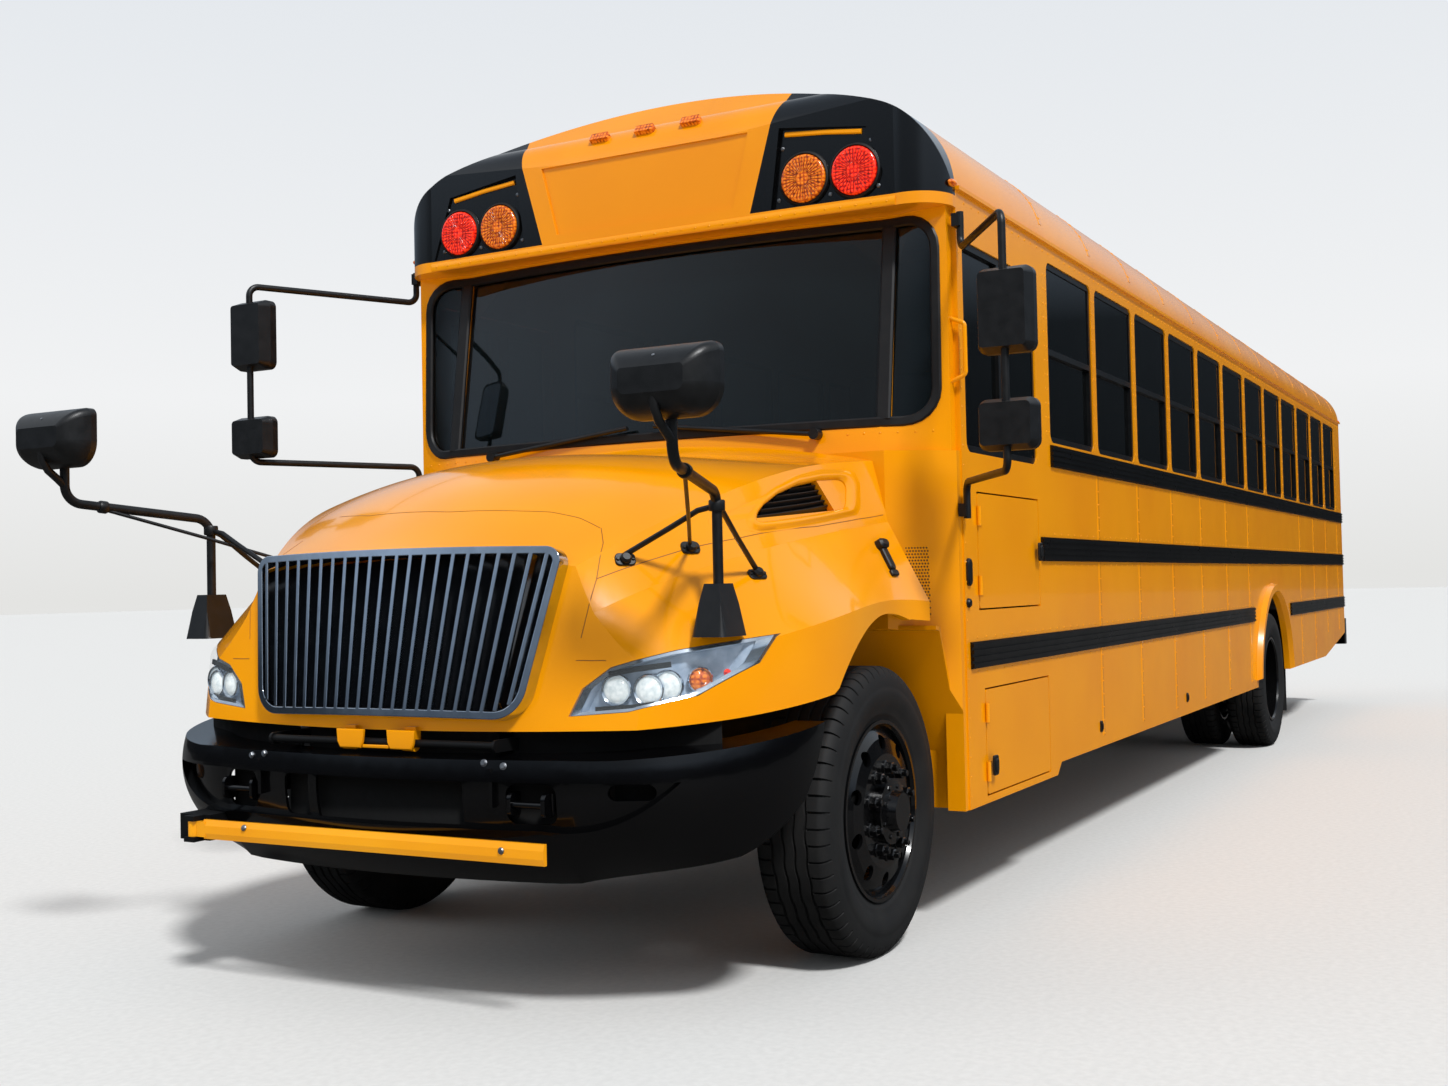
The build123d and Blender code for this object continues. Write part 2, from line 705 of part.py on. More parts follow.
# Front cap: a hollow visor that carries the warning lamps over the windshield.
# Its plan has rounded corners, its side view a rounded brow, and its front view
# the outline of the roof
cap_rear_x = body_front_x
lamp_panel_depth = 26
lamp_radius = 89
lamp_z = 2725
amber_lamp_y = 693
red_lamp_y = 897
with BuildPart() as front_cap:
    with BuildSketch(Plane.XY.offset(cap_low_z)):
        with BuildLine():
            Polyline(
                (cap_rear_x, -body_half_width),
                (cap_face_x - cap_corner, -body_half_width),
            )
            ThreePointArc(
                (cap_face_x - cap_corner, -body_half_width),
                (
                    cap_face_x - cap_corner * (1 - cos(radians(45))) - 8,
                    -body_half_width + cap_corner * (1 - sin(radians(45))) + 8,
                ),
                (cap_face_x - 20, -body_half_width + cap_corner + 20),
            )
            ThreePointArc(
                (cap_face_x - 20, -body_half_width + cap_corner + 20),
                (cap_face_x, 0),
                (cap_face_x - 20, body_half_width - cap_corner - 20),
            )
            ThreePointArc(
                (cap_face_x - 20, body_half_width - cap_corner - 20),
                (
                    cap_face_x - cap_corner * (1 - cos(radians(45))) - 8,
                    body_half_width - cap_corner * (1 - sin(radians(45))) - 8,
                ),
                (cap_face_x - cap_corner, body_half_width),
            )
            Line((cap_face_x - cap_corner, body_half_width), (cap_rear_x, body_half_width))
            Line((cap_rear_x, body_half_width), (cap_rear_x, -body_half_width))
        make_face()
    extrude(amount=roof_top_z - cap_low_z)
    # The brow, seen from the side
    with BuildSketch(Plane.XZ):
        with BuildLine():
            Polyline(
                (cap_rear_x, cap_low_z),
                (cap_face_x, cap_low_z),
                (cap_face_x, cap_face_top_z - cap_edge),
            )
            RadiusArc(
                (cap_face_x, cap_face_top_z - cap_edge),
                (cap_face_x - cap_edge, cap_face_top_z + 60),
                -2 * cap_edge,
            )
            Line((cap_face_x - cap_edge, cap_face_top_z + 60), (cap_rear_x, roof_top_z))
            Line((cap_rear_x, roof_top_z), (cap_rear_x, cap_low_z))
        make_face()
    extrude(amount=body_half_width, both=True, mode=Mode.INTERSECT)
    # The roof's outline, seen from the front
    with BuildSketch(Plane.YZ.offset(cap_rear_x)):
        with BuildLine():
            CenterArc((shoulder_y, eave_z), shoulder_radius, 0, shoulder_angle)
            CenterArc((0, crown_z), crown_radius, shoulder_angle, 180 - 2 * shoulder_angle)
            CenterArc((-shoulder_y, eave_z), shoulder_radius, 180 - shoulder_angle, shoulder_angle)
            Polyline(
                (-body_half_width, eave_z),
                (-body_half_width, cap_low_z),
                (body_half_width, cap_low_z),
                (body_half_width, eave_z),
            )
        make_face()
    extrude(amount=cap_face_x - cap_rear_x, mode=Mode.INTERSECT)
    # Recessed lamp panels and the recessed blank sign panel
    for side in (1, -1):
        with BuildSketch(Plane.YZ.offset(cap_face_x - lamp_panel_depth)):
            with BuildLine():
                Polyline(
                    (side * 560, cap_low_z + 46),
                    (side * 600, cap_low_z + 345),
                    (side * 945, cap_low_z + 300),
                    (side * 1035, cap_low_z + 46),
                    close=True,
                )
            make_face()
        extrude(amount=100, mode=Mode.SUBTRACT)
    with BuildSketch(Plane.YZ.offset(cap_face_x - 12)):
        with BuildLine():
            Polyline(
                (-400, cap_low_z + 75),
                (-470, cap_low_z + 350),
                (470, cap_low_z + 350),
                (400, cap_low_z + 75),
                close=True,
            )
        make_face()
    extrude(amount=100, mode=Mode.SUBTRACT)
    # Hollow behind the face
    with BuildSketch(Plane.YZ.offset(cap_rear_x)):
        with Locations((0, (cap_low_z + cap_face_top_z) / 2 + 10)):
            Rectangle(2 * (body_half_width - 190), cap_face_top_z - cap_low_z - 100)
    extrude(amount=cap_face_x - cap_rear_x - lamp_panel_depth - wall, mode=Mode.SUBTRACT)

front_cap.part.label = "front_cap"
export_step(front_cap.part, "parts/front_cap.step")


# Windshield surround: two raked plan outlines joined by straight walls, with
# one wide opening that wraps round the corners
def surround_outline(z, face_x, inset):
    """Plan of the cab front at one height: a shallow bow between the dividers
    and a straight cheek from each divider back to the side wall."""
    divider_x = face_x - windshield_sag - inset
    rear_x = body_front_x - inset
    edge_y = body_half_width - 20 - inset
    with BuildSketch(Plane.XY.offset(z)) as outline:
        with BuildLine():
            ThreePointArc(
                (divider_x, -windshield_divider_y + inset / 4),
                (face_x - inset, 0),
                (divider_x, windshield_divider_y - inset / 4),
            )
            Polyline(
                (divider_x, windshield_divider_y - inset / 4),
                (pillar_front_x - inset / 2, edge_y),
                (rear_x, edge_y),
                (rear_x, -edge_y),
                (pillar_front_x - inset / 2, -edge_y),
                (divider_x, -windshield_divider_y + inset / 4),
            )
        make_face()
    return outline.sketch


surround_top_z = cap_low_z
glass_inset = 14
post_y = windshield_divider_y + 10
post_width = 46
grab_low_z = 1945
grab_top_z = 2180
grab_reach = 52


def glazing_sketch():
    """Front view of the windshield's opening, split by the two corner posts."""
    with BuildSketch(Plane.YZ.offset(body_front_x + 1)) as opening:
        with Locations((0, (glass_low_z + glass_top_z) / 2)):
            RectangleRounded(2 * glass_half_width, glass_top_z - glass_low_z, 110)
            with Locations((-post_y, 0), (post_y, 0)):
                Rectangle(post_width, glass_top_z - glass_low_z, mode=Mode.SUBTRACT)
    return opening.sketch


with BuildPart() as windshield_surround:
    loft(
        sections=[
            surround_outline(windshield_base_z, windshield_low_x, 0),
            surround_outline(surround_top_z, windshield_high_x, 0),
        ],
        ruled=True,
    )
    loft(
        sections=[
            surround_outline(windshield_base_z, windshield_low_x, wall),
            surround_outline(surround_top_z, windshield_high_x, wall),
        ],
        ruled=True,
        mode=Mode.SUBTRACT,
    )
    extrude(glazing_sketch(), amount=600, mode=Mode.SUBTRACT)
    # Grab handle on the driver's corner post
    grab_x = (pillar_front_x + body_front_x) / 2
    grab_y = body_half_width - 20
    with BuildLine() as grab_path:
        FilletPolyline(
            (grab_x, grab_y - 10, grab_low_z),
            (grab_x, grab_y + grab_reach, grab_low_z + 25),
            (grab_x, grab_y + grab_reach, grab_top_z - 25),
            (grab_x, grab_y - 10, grab_top_z),
            radius=18,
        )
    with BuildSketch(Plane(origin=grab_path.line @ 0, z_dir=grab_path.line % 0)):
        Circle(8)
    sweep(path=grab_path.line)

windshield_surround.part.label = "windshield_surround"
export_step(windshield_surround.part, "parts/windshield_surround.step")

with BuildPart() as windshield:
    loft(
        sections=[
            surround_outline(windshield_base_z, windshield_low_x, glass_inset),
            surround_outline(surround_top_z, windshield_high_x, glass_inset),
        ],
        ruled=True,
    )
    loft(
        sections=[
            surround_outline(windshield_base_z, windshield_low_x, glass_inset + glass_thickness),
            surround_outline(surround_top_z, windshield_high_x, glass_inset + glass_thickness),
        ],
        ruled=True,
        mode=Mode.SUBTRACT,
    )
    extrude(glazing_sketch(), amount=600, mode=Mode.INTERSECT)

windshield.part.label = "windshield"
export_step(windshield.part, "parts/windshield.step")


# Cowl: firewall and cheeks under the windshield, cut back round the front wheels
cowl_top_z = windshield_base_z
cheek_front_x = body_front_x + 40
liner_wall = 14
liner_x = body_front_x - 25
with BuildPart() as cowl:
    with BuildSketch(Plane.XY.offset(cowl_low_z)):
        with BuildLine():
            Polyline(
                (body_front_x, -body_half_width + 5),
                (cheek_front_x, -body_half_width + 5),
                (cowl_face_x, -cowl_corner_y),
                (cowl_face_x, cowl_corner_y),
                (cheek_front_x, body_half_width - 5),
                (body_front_x, body_half_width - 5),
                close=True,
            )
        make_face()
    extrude(amount=cowl_top_z - cowl_low_z)
    # Hollow towards the cabin
    with BuildSketch(Plane.XY.offset(cowl_low_z)):
        with BuildLine():
            Polyline(
                (body_front_x, -body_half_width + 5 + wall),
                (cheek_front_x - 30, -body_half_width + 5 + wall),
                (cowl_face_x - wall, -cowl_corner_y + 15),
                (cowl_face_x - wall, cowl_corner_y - 15),
                (cheek_front_x - 30, body_half_width - 5 - wall),
                (body_front_x, body_half_width - 5 - wall),
                close=True,
            )
        make_face()
    extrude(amount=cowl_top_z - cowl_low_z - wall, mode=Mode.SUBTRACT)
    # Space for the front wheels on their full lock, and for the chassis
    with BuildSketch(Plane.XZ):
        with BuildLine():
            Polyline(
                (cheek_front_x - 5, 0),
                (cheek_front_x - 5, 760),
                (cowl_face_x - 60, 1060),
                (cowl_face_x + 200, 1100),
                (cowl_face_x + 200, 0),
                close=True,
            )
        make_face()
    extrude(amount=body_half_width, both=True, mode=Mode.SUBTRACT)
    # Liner behind the wheels, closing the body's lower front
    with BuildSketch(Plane.XZ):
        with BuildLine():
            Polyline(
                (liner_x, cowl_low_z),
                (liner_x, 620),
                (cheek_front_x - 5, 760),
                (cowl_face_x - 60, 1060),
                (cowl_face_x - 25, 1065),
                (cowl_face_x - 25, 1065 + liner_wall),
                (cowl_face_x - 60 - liner_wall / 2, 1060 + liner_wall),
                (cheek_front_x - 5 - liner_wall, 760 + liner_wall / 2),
                (liner_x - liner_wall, 640),
                (liner_x - liner_wall, cowl_low_z),
                close=True,
            )
        make_face()
    extrude(amount=inner_half_width - fit_gap, both=True)
    # Way through for the frame and the gearbox
    with Locations((body_front_x, 0, cowl_low_z)):
        Box(500, 2 * (rail_outer_y + 40), 2 * (950 - cowl_low_z), mode=Mode.SUBTRACT)

cowl.part.label = "cowl"
export_step(cowl.part, "parts/cowl.step")


# Rub rails: ribbed black strips along both sides
rib_count = 4
with BuildPart() as rub_rails:
    for side, front_x, rear_x, low_z, top_z in rail_rows:
        rib_pitch = (top_z - low_z) / rib_count
        with BuildSketch(Plane.YZ.offset(rear_x)):
            with Locations((side * (body_half_width + fit_gap + rail_proud / 4), (low_z + top_z) / 2)):
                Rectangle(rail_proud / 2, top_z - low_z)
            for i in range(rib_count):
                with Locations(
                    (
                        side * (body_half_width + fit_gap + rail_proud / 2),
                        low_z + (i + 0.5) * rib_pitch,
                    )
                ):
                    Rectangle(rail_proud, rib_pitch * 0.6)
        extrude(amount=front_x - rear_x)

rub_rails.part.label = "rub_rails"
export_step(rub_rails.part, "parts/rub_rails.step")


# Window frames: one per opening, with a meeting rail between the two sashes
frame_y = body_half_width - 6 - sash_depth
with BuildPart() as window_frames:
    for side in (1, -1):
        with BuildSketch(Plane.XZ.offset(-side * (frame_y + sash_depth / 2))):
            for i in range(window_count):
                centre_x = window_front_x - window_width / 2 - i * window_pitch
                with Locations((centre_x, window_sill_z + window_height / 2)):
                    RectangleRounded(
                        window_width - 2 * fit_gap, window_height - 2 * fit_gap, window_corner
                    )
                for low_z, top_z in (
                    (window_sill_z + sash_frame, meeting_rail_z - sash_frame / 2),
                    (meeting_rail_z + sash_frame / 2, window_top_z - sash_frame),
                ):
                    with Locations((centre_x, (low_z + top_z) / 2)):
                        Rectangle(window_width - 2 * sash_frame, top_z - low_z, mode=Mode.SUBTRACT)
        extrude(amount=sash_depth / 2, both=True)
    # Frame of the driver's window, with an upright between its two panes
    driver_width = driver_window_front_x - driver_window_rear_x
    driver_height = driver_window_top_z - driver_window_sill_z
    driver_centre_x = (driver_window_front_x + driver_window_rear_x) / 2
    driver_centre_z = (driver_window_sill_z + driver_window_top_z) / 2
    with BuildSketch(Plane.XZ.offset(-frame_y - sash_depth / 2)):
        with Locations((driver_centre_x, driver_centre_z)):
            RectangleRounded(driver_width - 2 * fit_gap, driver_height - 2 * fit_gap, window_corner)
        for i in (-1, 1):
            with Locations((driver_centre_x + i * driver_width / 4, driver_centre_z)):
                Rectangle(
                    driver_width / 2 - 1.5 * sash_frame,
                    driver_height - 2 * sash_frame,
                    mode=Mode.SUBTRACT,
                )
    extrude(amount=sash_depth / 2, both=True)
    # Frames of the two rear windows
    with BuildSketch(Plane.YZ.offset(body_rear_x + 5)):
        for side in (1, -1):
            with Locations((side * rear_window_y, (rear_window_low_z + rear_window_top_z) / 2)):
                RectangleRounded(
                    rear_window_width - 2 * fit_gap,
                    rear_window_top_z - rear_window_low_z - 2 * fit_gap,
                    window_corner,
                )
                RectangleRounded(
                    rear_window_width - 2 * sash_frame,
                    rear_window_top_z - rear_window_low_z - 2 * sash_frame,
                    window_corner - sash_frame / 2,
                    mode=Mode.SUBTRACT,
                )
    extrude(amount=sash_depth)

window_frames.part.label = "window_frames"
export_step(window_frames.part, "parts/window_frames.step")


# Window glass: upper panes stand further out than the lower, as sliding sashes do
with BuildPart() as window_glass:
    for side in (1, -1):
        for i in range(window_count):
            centre_x = window_front_x - window_width / 2 - i * window_pitch
            for low_z, top_z, depth in (
                (window_sill_z + sash_frame, meeting_rail_z - sash_frame / 2, 20),
                (meeting_rail_z + sash_frame / 2, window_top_z - sash_frame, 8),
            ):
                with Locations(
                    (centre_x, side * (body_half_width - 6 - depth), (low_z + top_z) / 2)
                ):
                    Box(
                        window_width - 2 * sash_frame - 2 * fit_gap,
                        glass_thickness,
                        top_z - low_z - 2 * fit_gap,
                    )
    for i in (-1, 1):
        with Locations(
            (driver_centre_x + i * driver_width / 4, body_half_width - 18 - i * 6, driver_centre_z)
        ):
            Box(
                driver_width / 2 - 1.5 * sash_frame - 2 * fit_gap,
                glass_thickness,
                driver_height - 2 * sash_frame - 2 * fit_gap,
            )
    with BuildSketch(Plane.YZ.offset(body_rear_x + 5 + sash_depth / 2)):
        for side in (1, -1):
            with Locations((side * rear_window_y, (rear_window_low_z + rear_window_top_z) / 2)):
                RectangleRounded(
                    rear_window_width - 2 * sash_frame - 2 * fit_gap,
                    rear_window_top_z - rear_window_low_z - 2 * sash_frame - 2 * fit_gap,
                    window_corner - sash_frame / 2,
                )
    extrude(amount=glass_thickness)

window_glass.part.label = "window_glass"
export_step(window_glass.part, "parts/window_glass.step")


# Headlamp openings seen from the front, on the driver's side
lamp_outline = (
    (625, 872),
    (660, 950),
    (740, 1010),
    (900, 1055),
    (1105, 1092),
    (1075, 1010),
    (960, 925),
    (800, 885),
)
headlamp_depth = 60
lamp_inner_shifts = (-100, 0, -20, -50, -60)


def headlamp_sketch(side, gap):
    """Front view of one headlamp opening, drawn in by the gap."""
    with BuildSketch(Plane.YZ.offset(front_axle_x + 700)) as outline:
        with BuildLine():
            Polyline(*[(side * y, z) for y, z in lamp_outline], close=True)
        make_face()
        if gap:
            offset(amount=-gap, mode=Mode.REPLACE)
    return outline.sketch


# Hood with its fenders: one moulded shell, open below and behind
def hood_outline(row, inset, low_z, shift):
    """One cross section of the hood on its leaning plane. The inset gives the
    inner face of the shell, and the shift moves the section along the bus."""
    station, lean, fender_y, fender_z, fold_y, fold_z, top_y, top_z, crown_height = row
    tilt = radians(lean)
    plane = Plane(
        origin=(front_axle_x + station + shift, 0, hood_low_z),
        x_dir=(0, 1, 0),
        z_dir=(cos(tilt), 0, sin(tilt)),
    )
    low = low_z - hood_low_z
    right = (
        (fender_y - inset, low),
        (fender_y - inset, fender_z - hood_low_z - inset * 0.6),
        (fold_y - inset, fold_z - hood_low_z - inset * 0.3),
        (top_y - inset, top_z - hood_low_z - inset * 0.6),
    )
    left = tuple((-y, z) for y, z in reversed(right))
    with BuildSketch(plane) as outline:
        with BuildLine():
            Polyline(*right)
            ThreePointArc(right[-1], (0, crown_height - hood_low_z - inset), left[0])
            Polyline(*left)
            Line(left[-1], right[0])
        make_face()
        fillet(
            [v for v in outline.vertices() if abs(abs(v.Y) - (top_y - inset)) < 1],
            radius=shoulder_round,
        )
        fillet(
            [
                v
                for v in outline.vertices()
                if abs(abs(v.Y) - (fender_y - inset)) < 1 and v.Z > hood_low_z + 50
            ],
            radius=fender_round,
        )
    return outline.sketch


def nose_block(back):
    """Everything behind the hood's bowed, leaning face, set back by a wall."""
    lean = radians(grille_lean)
    reach = body_half_width + 30
    face_plane = Plane(
        origin=(hood_face_x, 0, hood_low_z),
        x_dir=(cos(lean), 0, sin(lean)),
        z_dir=(-sin(lean), 0, cos(lean)),
    )
    edge_drop = nose_radius - (nose_radius**2 - reach**2) ** 0.5
    with BuildPart() as block:
        with BuildSketch(face_plane):
            with BuildLine():
                ThreePointArc((-back - edge_drop, -reach), (-back, 0), (-back - edge_drop, reach))
                Polyline(
                    (-back - edge_drop, reach), (-3000, reach), (-3000, -reach), (-back - edge_drop, -reach)
                )
            make_face()
        extrude(amount=1800, both=True)
    return block.part


# The hood's outer envelope and the space inside its shell
with BuildPart() as hood_envelope:
    loft(sections=[hood_outline(row, 0, hood_low_z, 0) for row in hood_rows])
    add(nose_block(0), mode=Mode.INTERSECT)

with BuildPart() as hood_space:
    loft(
        sections=[
            hood_outline(row, hood_wall, hood_low_z - 60, shift)
            for row, shift in zip(hood_rows, hood_inner_shifts)
        ]
    )
    add(nose_block(hood_wall), mode=Mode.INTERSECT)

# The grille's plane leans with the hood's face
grille_plane = Plane(
    origin=(hood_face_x - (grille_low_z - hood_low_z) * tan(radians(grille_lean)), 0, grille_low_z),
    x_dir=(0, 1, 0),
    z_dir=(cos(radians(grille_lean)), 0, sin(radians(grille_lean))),
)
grille_height = (grille_top_z - grille_low_z) / cos(radians(grille_lean))


def grille_outline(inset):
    """Front view of the grille: a tapering shape with rounded corners, drawn
    in by the inset."""
    with BuildSketch(grille_plane) as outline:
        with BuildLine():
            Polyline(
                (grille_top_y, grille_height),
                (grille_low_y, 0),
                (-grille_low_y, 0),
                (-grille_top_y, grille_height),
                close=True,
            )
        make_face()
        fillet(outline.vertices().group_by(Axis.Y)[0], radius=grille_low_round)
        fillet(outline.vertices().group_by(Axis.Y)[-1], radius=grille_top_round)
        if inset:
            offset(amount=-inset, mode=Mode.REPLACE)
    return outline.sketch


with BuildPart() as hood:
    add(hood_envelope.part)
    add(hood_space.part, mode=Mode.SUBTRACT)
    # Front wheel arches and the rising lower edge in front of them
    with BuildSketch(Plane.XZ):
        with Locations((front_axle_x, front_arch_z)):
            Circle(front_arch_radius)
        with BuildLine():
            Polyline(
                (front_axle_x - 400, 700),
                (front_axle_x - 400, 1090),
                (front_axle_x - 190, 1105),
                (front_axle_x + 300, 1000),
                (front_axle_x + 505, 900),
                (front_axle_x + 900, 855),
                (front_axle_x + 1300, 815),
                (front_axle_x + 1300, 700),
                close=True,
            )
        make_face()
    extrude(amount=2 * body_half_width, both=True, mode=Mode.SUBTRACT)
    # Grille opening in the front face
    extrude(grille_outline(grille_band / 2), amount=hood_wall * 6, both=True, mode=Mode.SUBTRACT)
    # Air vents through the hood's sides
    with BuildSketch(Plane.XZ):
        with BuildLine():
            ThreePointArc(
                (front_axle_x + vent_tip[0], vent_tip[1]),
                (front_axle_x + vent_crest[0], vent_crest[1]),
                (front_axle_x + vent_top[0], vent_top[1]),
            )
            Polyline(
                (front_axle_x + vent_top[0], vent_top[1]),
                (front_axle_x + vent_rear[0], vent_rear[1]),
                (front_axle_x + vent_tip[0], vent_tip[1]),
            )
        make_face()
    extrude(amount=body_half_width, both=True, mode=Mode.SUBTRACT)
    for side in (1, -1):
        extrude(headlamp_sketch(side, 0), amount=600, mode=Mode.SUBTRACT)
    # Two lugs under the front edge hold the hood on its shaft
    for side in (1, -1):
        with BuildSketch(Plane.XZ.offset(-side * pivot_lug_y)):
            with Locations((hood_pivot_x, hood_pivot_z)):
                Circle(2 * pivot_shaft_radius)
            with Locations((hood_pivot_x - pivot_shaft_radius, hood_pivot_z + 24)):
                Rectangle(2 * pivot_shaft_radius, 48)
            with Locations((hood_pivot_x, hood_pivot_z)):
                Circle(pivot_shaft_radius + fit_gap, mode=Mode.SUBTRACT)
        extrude(amount=20, both=True)

hood.part.label = "hood"
export_step(hood.part, "parts/hood.step")


# Grille: a bowed chrome frame with rounded corners, filled with upright bars
# that fan out towards the top
with BuildPart() as grille:
    extrude(grille_outline(0), amount=200, both=True)
    extrude(grille_outline(grille_band), amount=200, both=True, mode=Mode.SUBTRACT)
    with BuildSketch(grille_plane):
        for i in range(grille_bars):
            share = (i + 0.5) / grille_bars * 2 - 1
            top_y = share * (grille_top_y - grille_band)
            low_y = share * (grille_low_y - grille_band / 2)
            end_y = grille_band / 2 + grille_low_round * max(0, abs(share) - 0.8) * 2
            with BuildLine():
                Polyline(
                    (top_y - grille_bar_width / 2, grille_height - grille_band / 2),
                    (low_y - grille_bar_width / 2, end_y),
                    (low_y + grille_bar_width / 2, end_y),
                    (top_y + grille_bar_width / 2, grille_height - grille_band / 2),
                    close=True,
                )
            make_face()
    extrude(amount=200, both=True)
    add(nose_block(-grille_depth - fit_gap), mode=Mode.INTERSECT)
    add(nose_block(-fit_gap), mode=Mode.SUBTRACT)

grille.part.label = "grille"
export_step(grille.part, "parts/grille.step")


# Front bumper: a wrap-round shell lofted through three plan outlines, open at
# the back, with rising ends and slots in its face
bumper_wall = 10
# Each row: height, set-back of the face, half width at the ends, end position
bumper_rows = (
    (395, 130, 1090, 900),
    (600, 10, 1160, 720),
    (825, 40, 1165, 570),
)
bumper_face_x = front_axle_x + 1300


def bumper_outline(row, inset):
    """Plan of the bumper at one height: a bowed face between two swept cheeks."""
    z, back, half_width, end = row
    face_x = bumper_face_x - back - inset
    cheek_y = 640
    cheek_x = face_x - 75
    end_x = front_axle_x + end
    with BuildSketch(Plane.XY.offset(z)) as outline:
        with BuildLine():
            ThreePointArc((cheek_x, -cheek_y), (face_x, 0), (cheek_x, cheek_y))
            for side in (1, -1):
                ThreePointArc(
                    (cheek_x, side * cheek_y),
                    (cheek_x - 165, side * (cheek_y + 0.66 * (half_width - inset - cheek_y))),
                    (end_x - 2 * inset, side * (half_width - inset)),
                )
            Line((end_x - 2 * inset, half_width - inset), (end_x - 2 * inset, inset - half_width))
        make_face()
    return outline.sketch


def bumper_block(inset):
    """The solid inside the bumper's face, drawn in by the inset."""
    with BuildPart() as block:
        loft(sections=[bumper_outline(row, inset) for row in bumper_rows])
    return block.part


def recess_sketch(gap):
    """Front view of the bumper's long recess: level above, with pointed ends
    that sweep up from its lower edge. The gap draws it in."""
    with BuildSketch(Plane.YZ.offset(front_axle_x + 700)) as outline:
        with BuildLine():
            Polyline((-recess_tip[0], recess_tip[1]), (recess_tip[0], recess_tip[1]))
            for side in (1, -1):
                ThreePointArc(
                    (side * recess_tip[0], recess_tip[1]),
                    (side * recess_bend[0], recess_bend[1]),
                    (side * recess_floor[0], recess_floor[1]),
                )
            Line((recess_floor[0], recess_floor[1]), (-recess_floor[0], recess_floor[1]))
        make_face()
        if gap:
            offset(amount=-gap, kind=Kind.INTERSECTION, mode=Mode.REPLACE)
    return outline.sketch


tow_slot_y = 552
recess_depth = 24
recess_tip = (985, 706)
recess_bend = (860, 598)
recess_floor = (590, 550)
slot_bar_y = -218
slot_bar_width = 36
deck_depth = 120
deck_front_z = 743
deck_side = (560, 813)
deck_slope_length = 120
with BuildPart() as recess_pan:
    extrude(recess_sketch(0), amount=700)
    add(bumper_block(0), mode=Mode.INTERSECT)
    add(bumper_block(recess_depth + bumper_wall), mode=Mode.SUBTRACT)
with BuildPart() as recess_air:
    extrude(recess_sketch(bumper_wall), amount=700)
    add(bumper_block(recess_depth), mode=Mode.SUBTRACT)
with BuildPart() as front_bumper:
    add(bumper_block(0))
    add(bumper_block(bumper_wall), mode=Mode.SUBTRACT)
    # Deck along the top, from the face back to the grille
    with BuildPart(mode=Mode.PRIVATE) as deck:
        with BuildSketch(Plane.XZ):
            with BuildLine():
                Polyline(
                    (bumper_face_x + 50, deck_front_z),
                    (bumper_face_x - deck_slope_length, deck_front_z + 2),
                    (front_axle_x + deck_side[0], deck_side[1]),
                    (front_axle_x + deck_side[0], 900),
                    (bumper_face_x + 50, 900),
                    close=True,
                )
            make_face()
        extrude(amount=2 * body_half_width, both=True)
        add(bumper_block(0), mode=Mode.INTERSECT)
        add(bumper_block(deck_depth), mode=Mode.SUBTRACT)
    add(deck.part)
    add(recess_pan.part)
    add(recess_air.part, mode=Mode.SUBTRACT)
    # Top edge rises towards the ends and the lower corners are cut away
    with BuildSketch(Plane.XZ):
        with BuildLine():
            Polyline(
                (bumper_face_x + 50, 755),
                (bumper_face_x - 120, 757),
                (front_axle_x + 560, 825),
                (front_axle_x + 560, 900),
                (bumper_face_x + 50, 900),
                close=True,
            )
        make_face()
    extrude(amount=2 * body_half_width, both=True, mode=Mode.SUBTRACT)
    with BuildSketch(Plane.XZ):
        with BuildLine():
            Polyline(
                (front_axle_x + 500, 800),
                (front_axle_x + 565, 815),
                (front_axle_x + 700, 620),
                (front_axle_x + 905, 470),
                (bumper_face_x - 150, 380),
                (front_axle_x + 500, 380),
                close=True,
            )
        make_face()
    extrude(amount=2 * body_half_width, both=True, mode=Mode.SUBTRACT)
    # Centre slot with its bar, tow hook slots and the small outer slots
    with BuildSketch(Plane.YZ.offset(front_axle_x + 950)):
        with Locations((0, 630)):
            RectangleRounded(680, 125, 20)
        with Locations((slot_bar_y, 630)):
            Rectangle(slot_bar_width, 125, mode=Mode.SUBTRACT)
        for side in (1, -1):
            with Locations((side * tow_slot_y, 632)):
                RectangleRounded(150, 112, 30)
            with Locations((side * 835, 667)):
                SlotOverall(120, 44)
    extrude(amount=600, mode=Mode.SUBTRACT)
    # Mounting plate across the ends of the frame rails
    with Locations((frame_front_x + 6 + fit_gap, 0, frame_low_z + 60)):
        Box(12, 2 * rail_outer_y + 60, 110)
    for side in (1, -1):
        with BuildSketch(Plane.YZ.offset(frame_front_x + fit_gap)):
            with Locations((side * (rail_outer_y + 10), frame_low_z + 60)):
                Rectangle(12, 110)
        extrude(amount=214)

front_bumper.part.label = "front_bumper"
export_step(front_bumper.part, "parts/front_bumper.step")


# Crossing arm: a shaped bar along the bumper, swinging on the passenger's side
arm_x = bumper_face_x - 23
arm_low_z = 478
arm_height = 60
arm_end_y = 647
arm_pivot = (arm_x + 8, -arm_end_y - 45)
with BuildPart() as crossing_arm:
    with BuildSketch(Plane.XZ.offset(-arm_end_y)):
        with BuildLine():
            Polyline(
                (arm_x, arm_low_z),
                (arm_x + 10, arm_low_z),
                (arm_x + 16, arm_low_z + arm_height * 0.3),
                (arm_x + 16, arm_low_z + arm_height * 0.7),
                (arm_x + 10, arm_low_z + arm_height),
                (arm_x, arm_low_z + arm_height),
                close=True,
            )
        make_face()
    extrude(amount=2 * arm_end_y)
    with Locations((arm_pivot[0], arm_pivot[1] + 25, arm_low_z + arm_height / 2)):
        Box(16, 60, arm_height * 0.8)
    with Locations((arm_pivot[0], arm_pivot[1], arm_low_z + arm_height / 2)):
        Cylinder(18, arm_height * 0.8)

crossing_arm.part.label = "crossing_arm"
export_step(crossing_arm.part, "parts/crossing_arm.step")


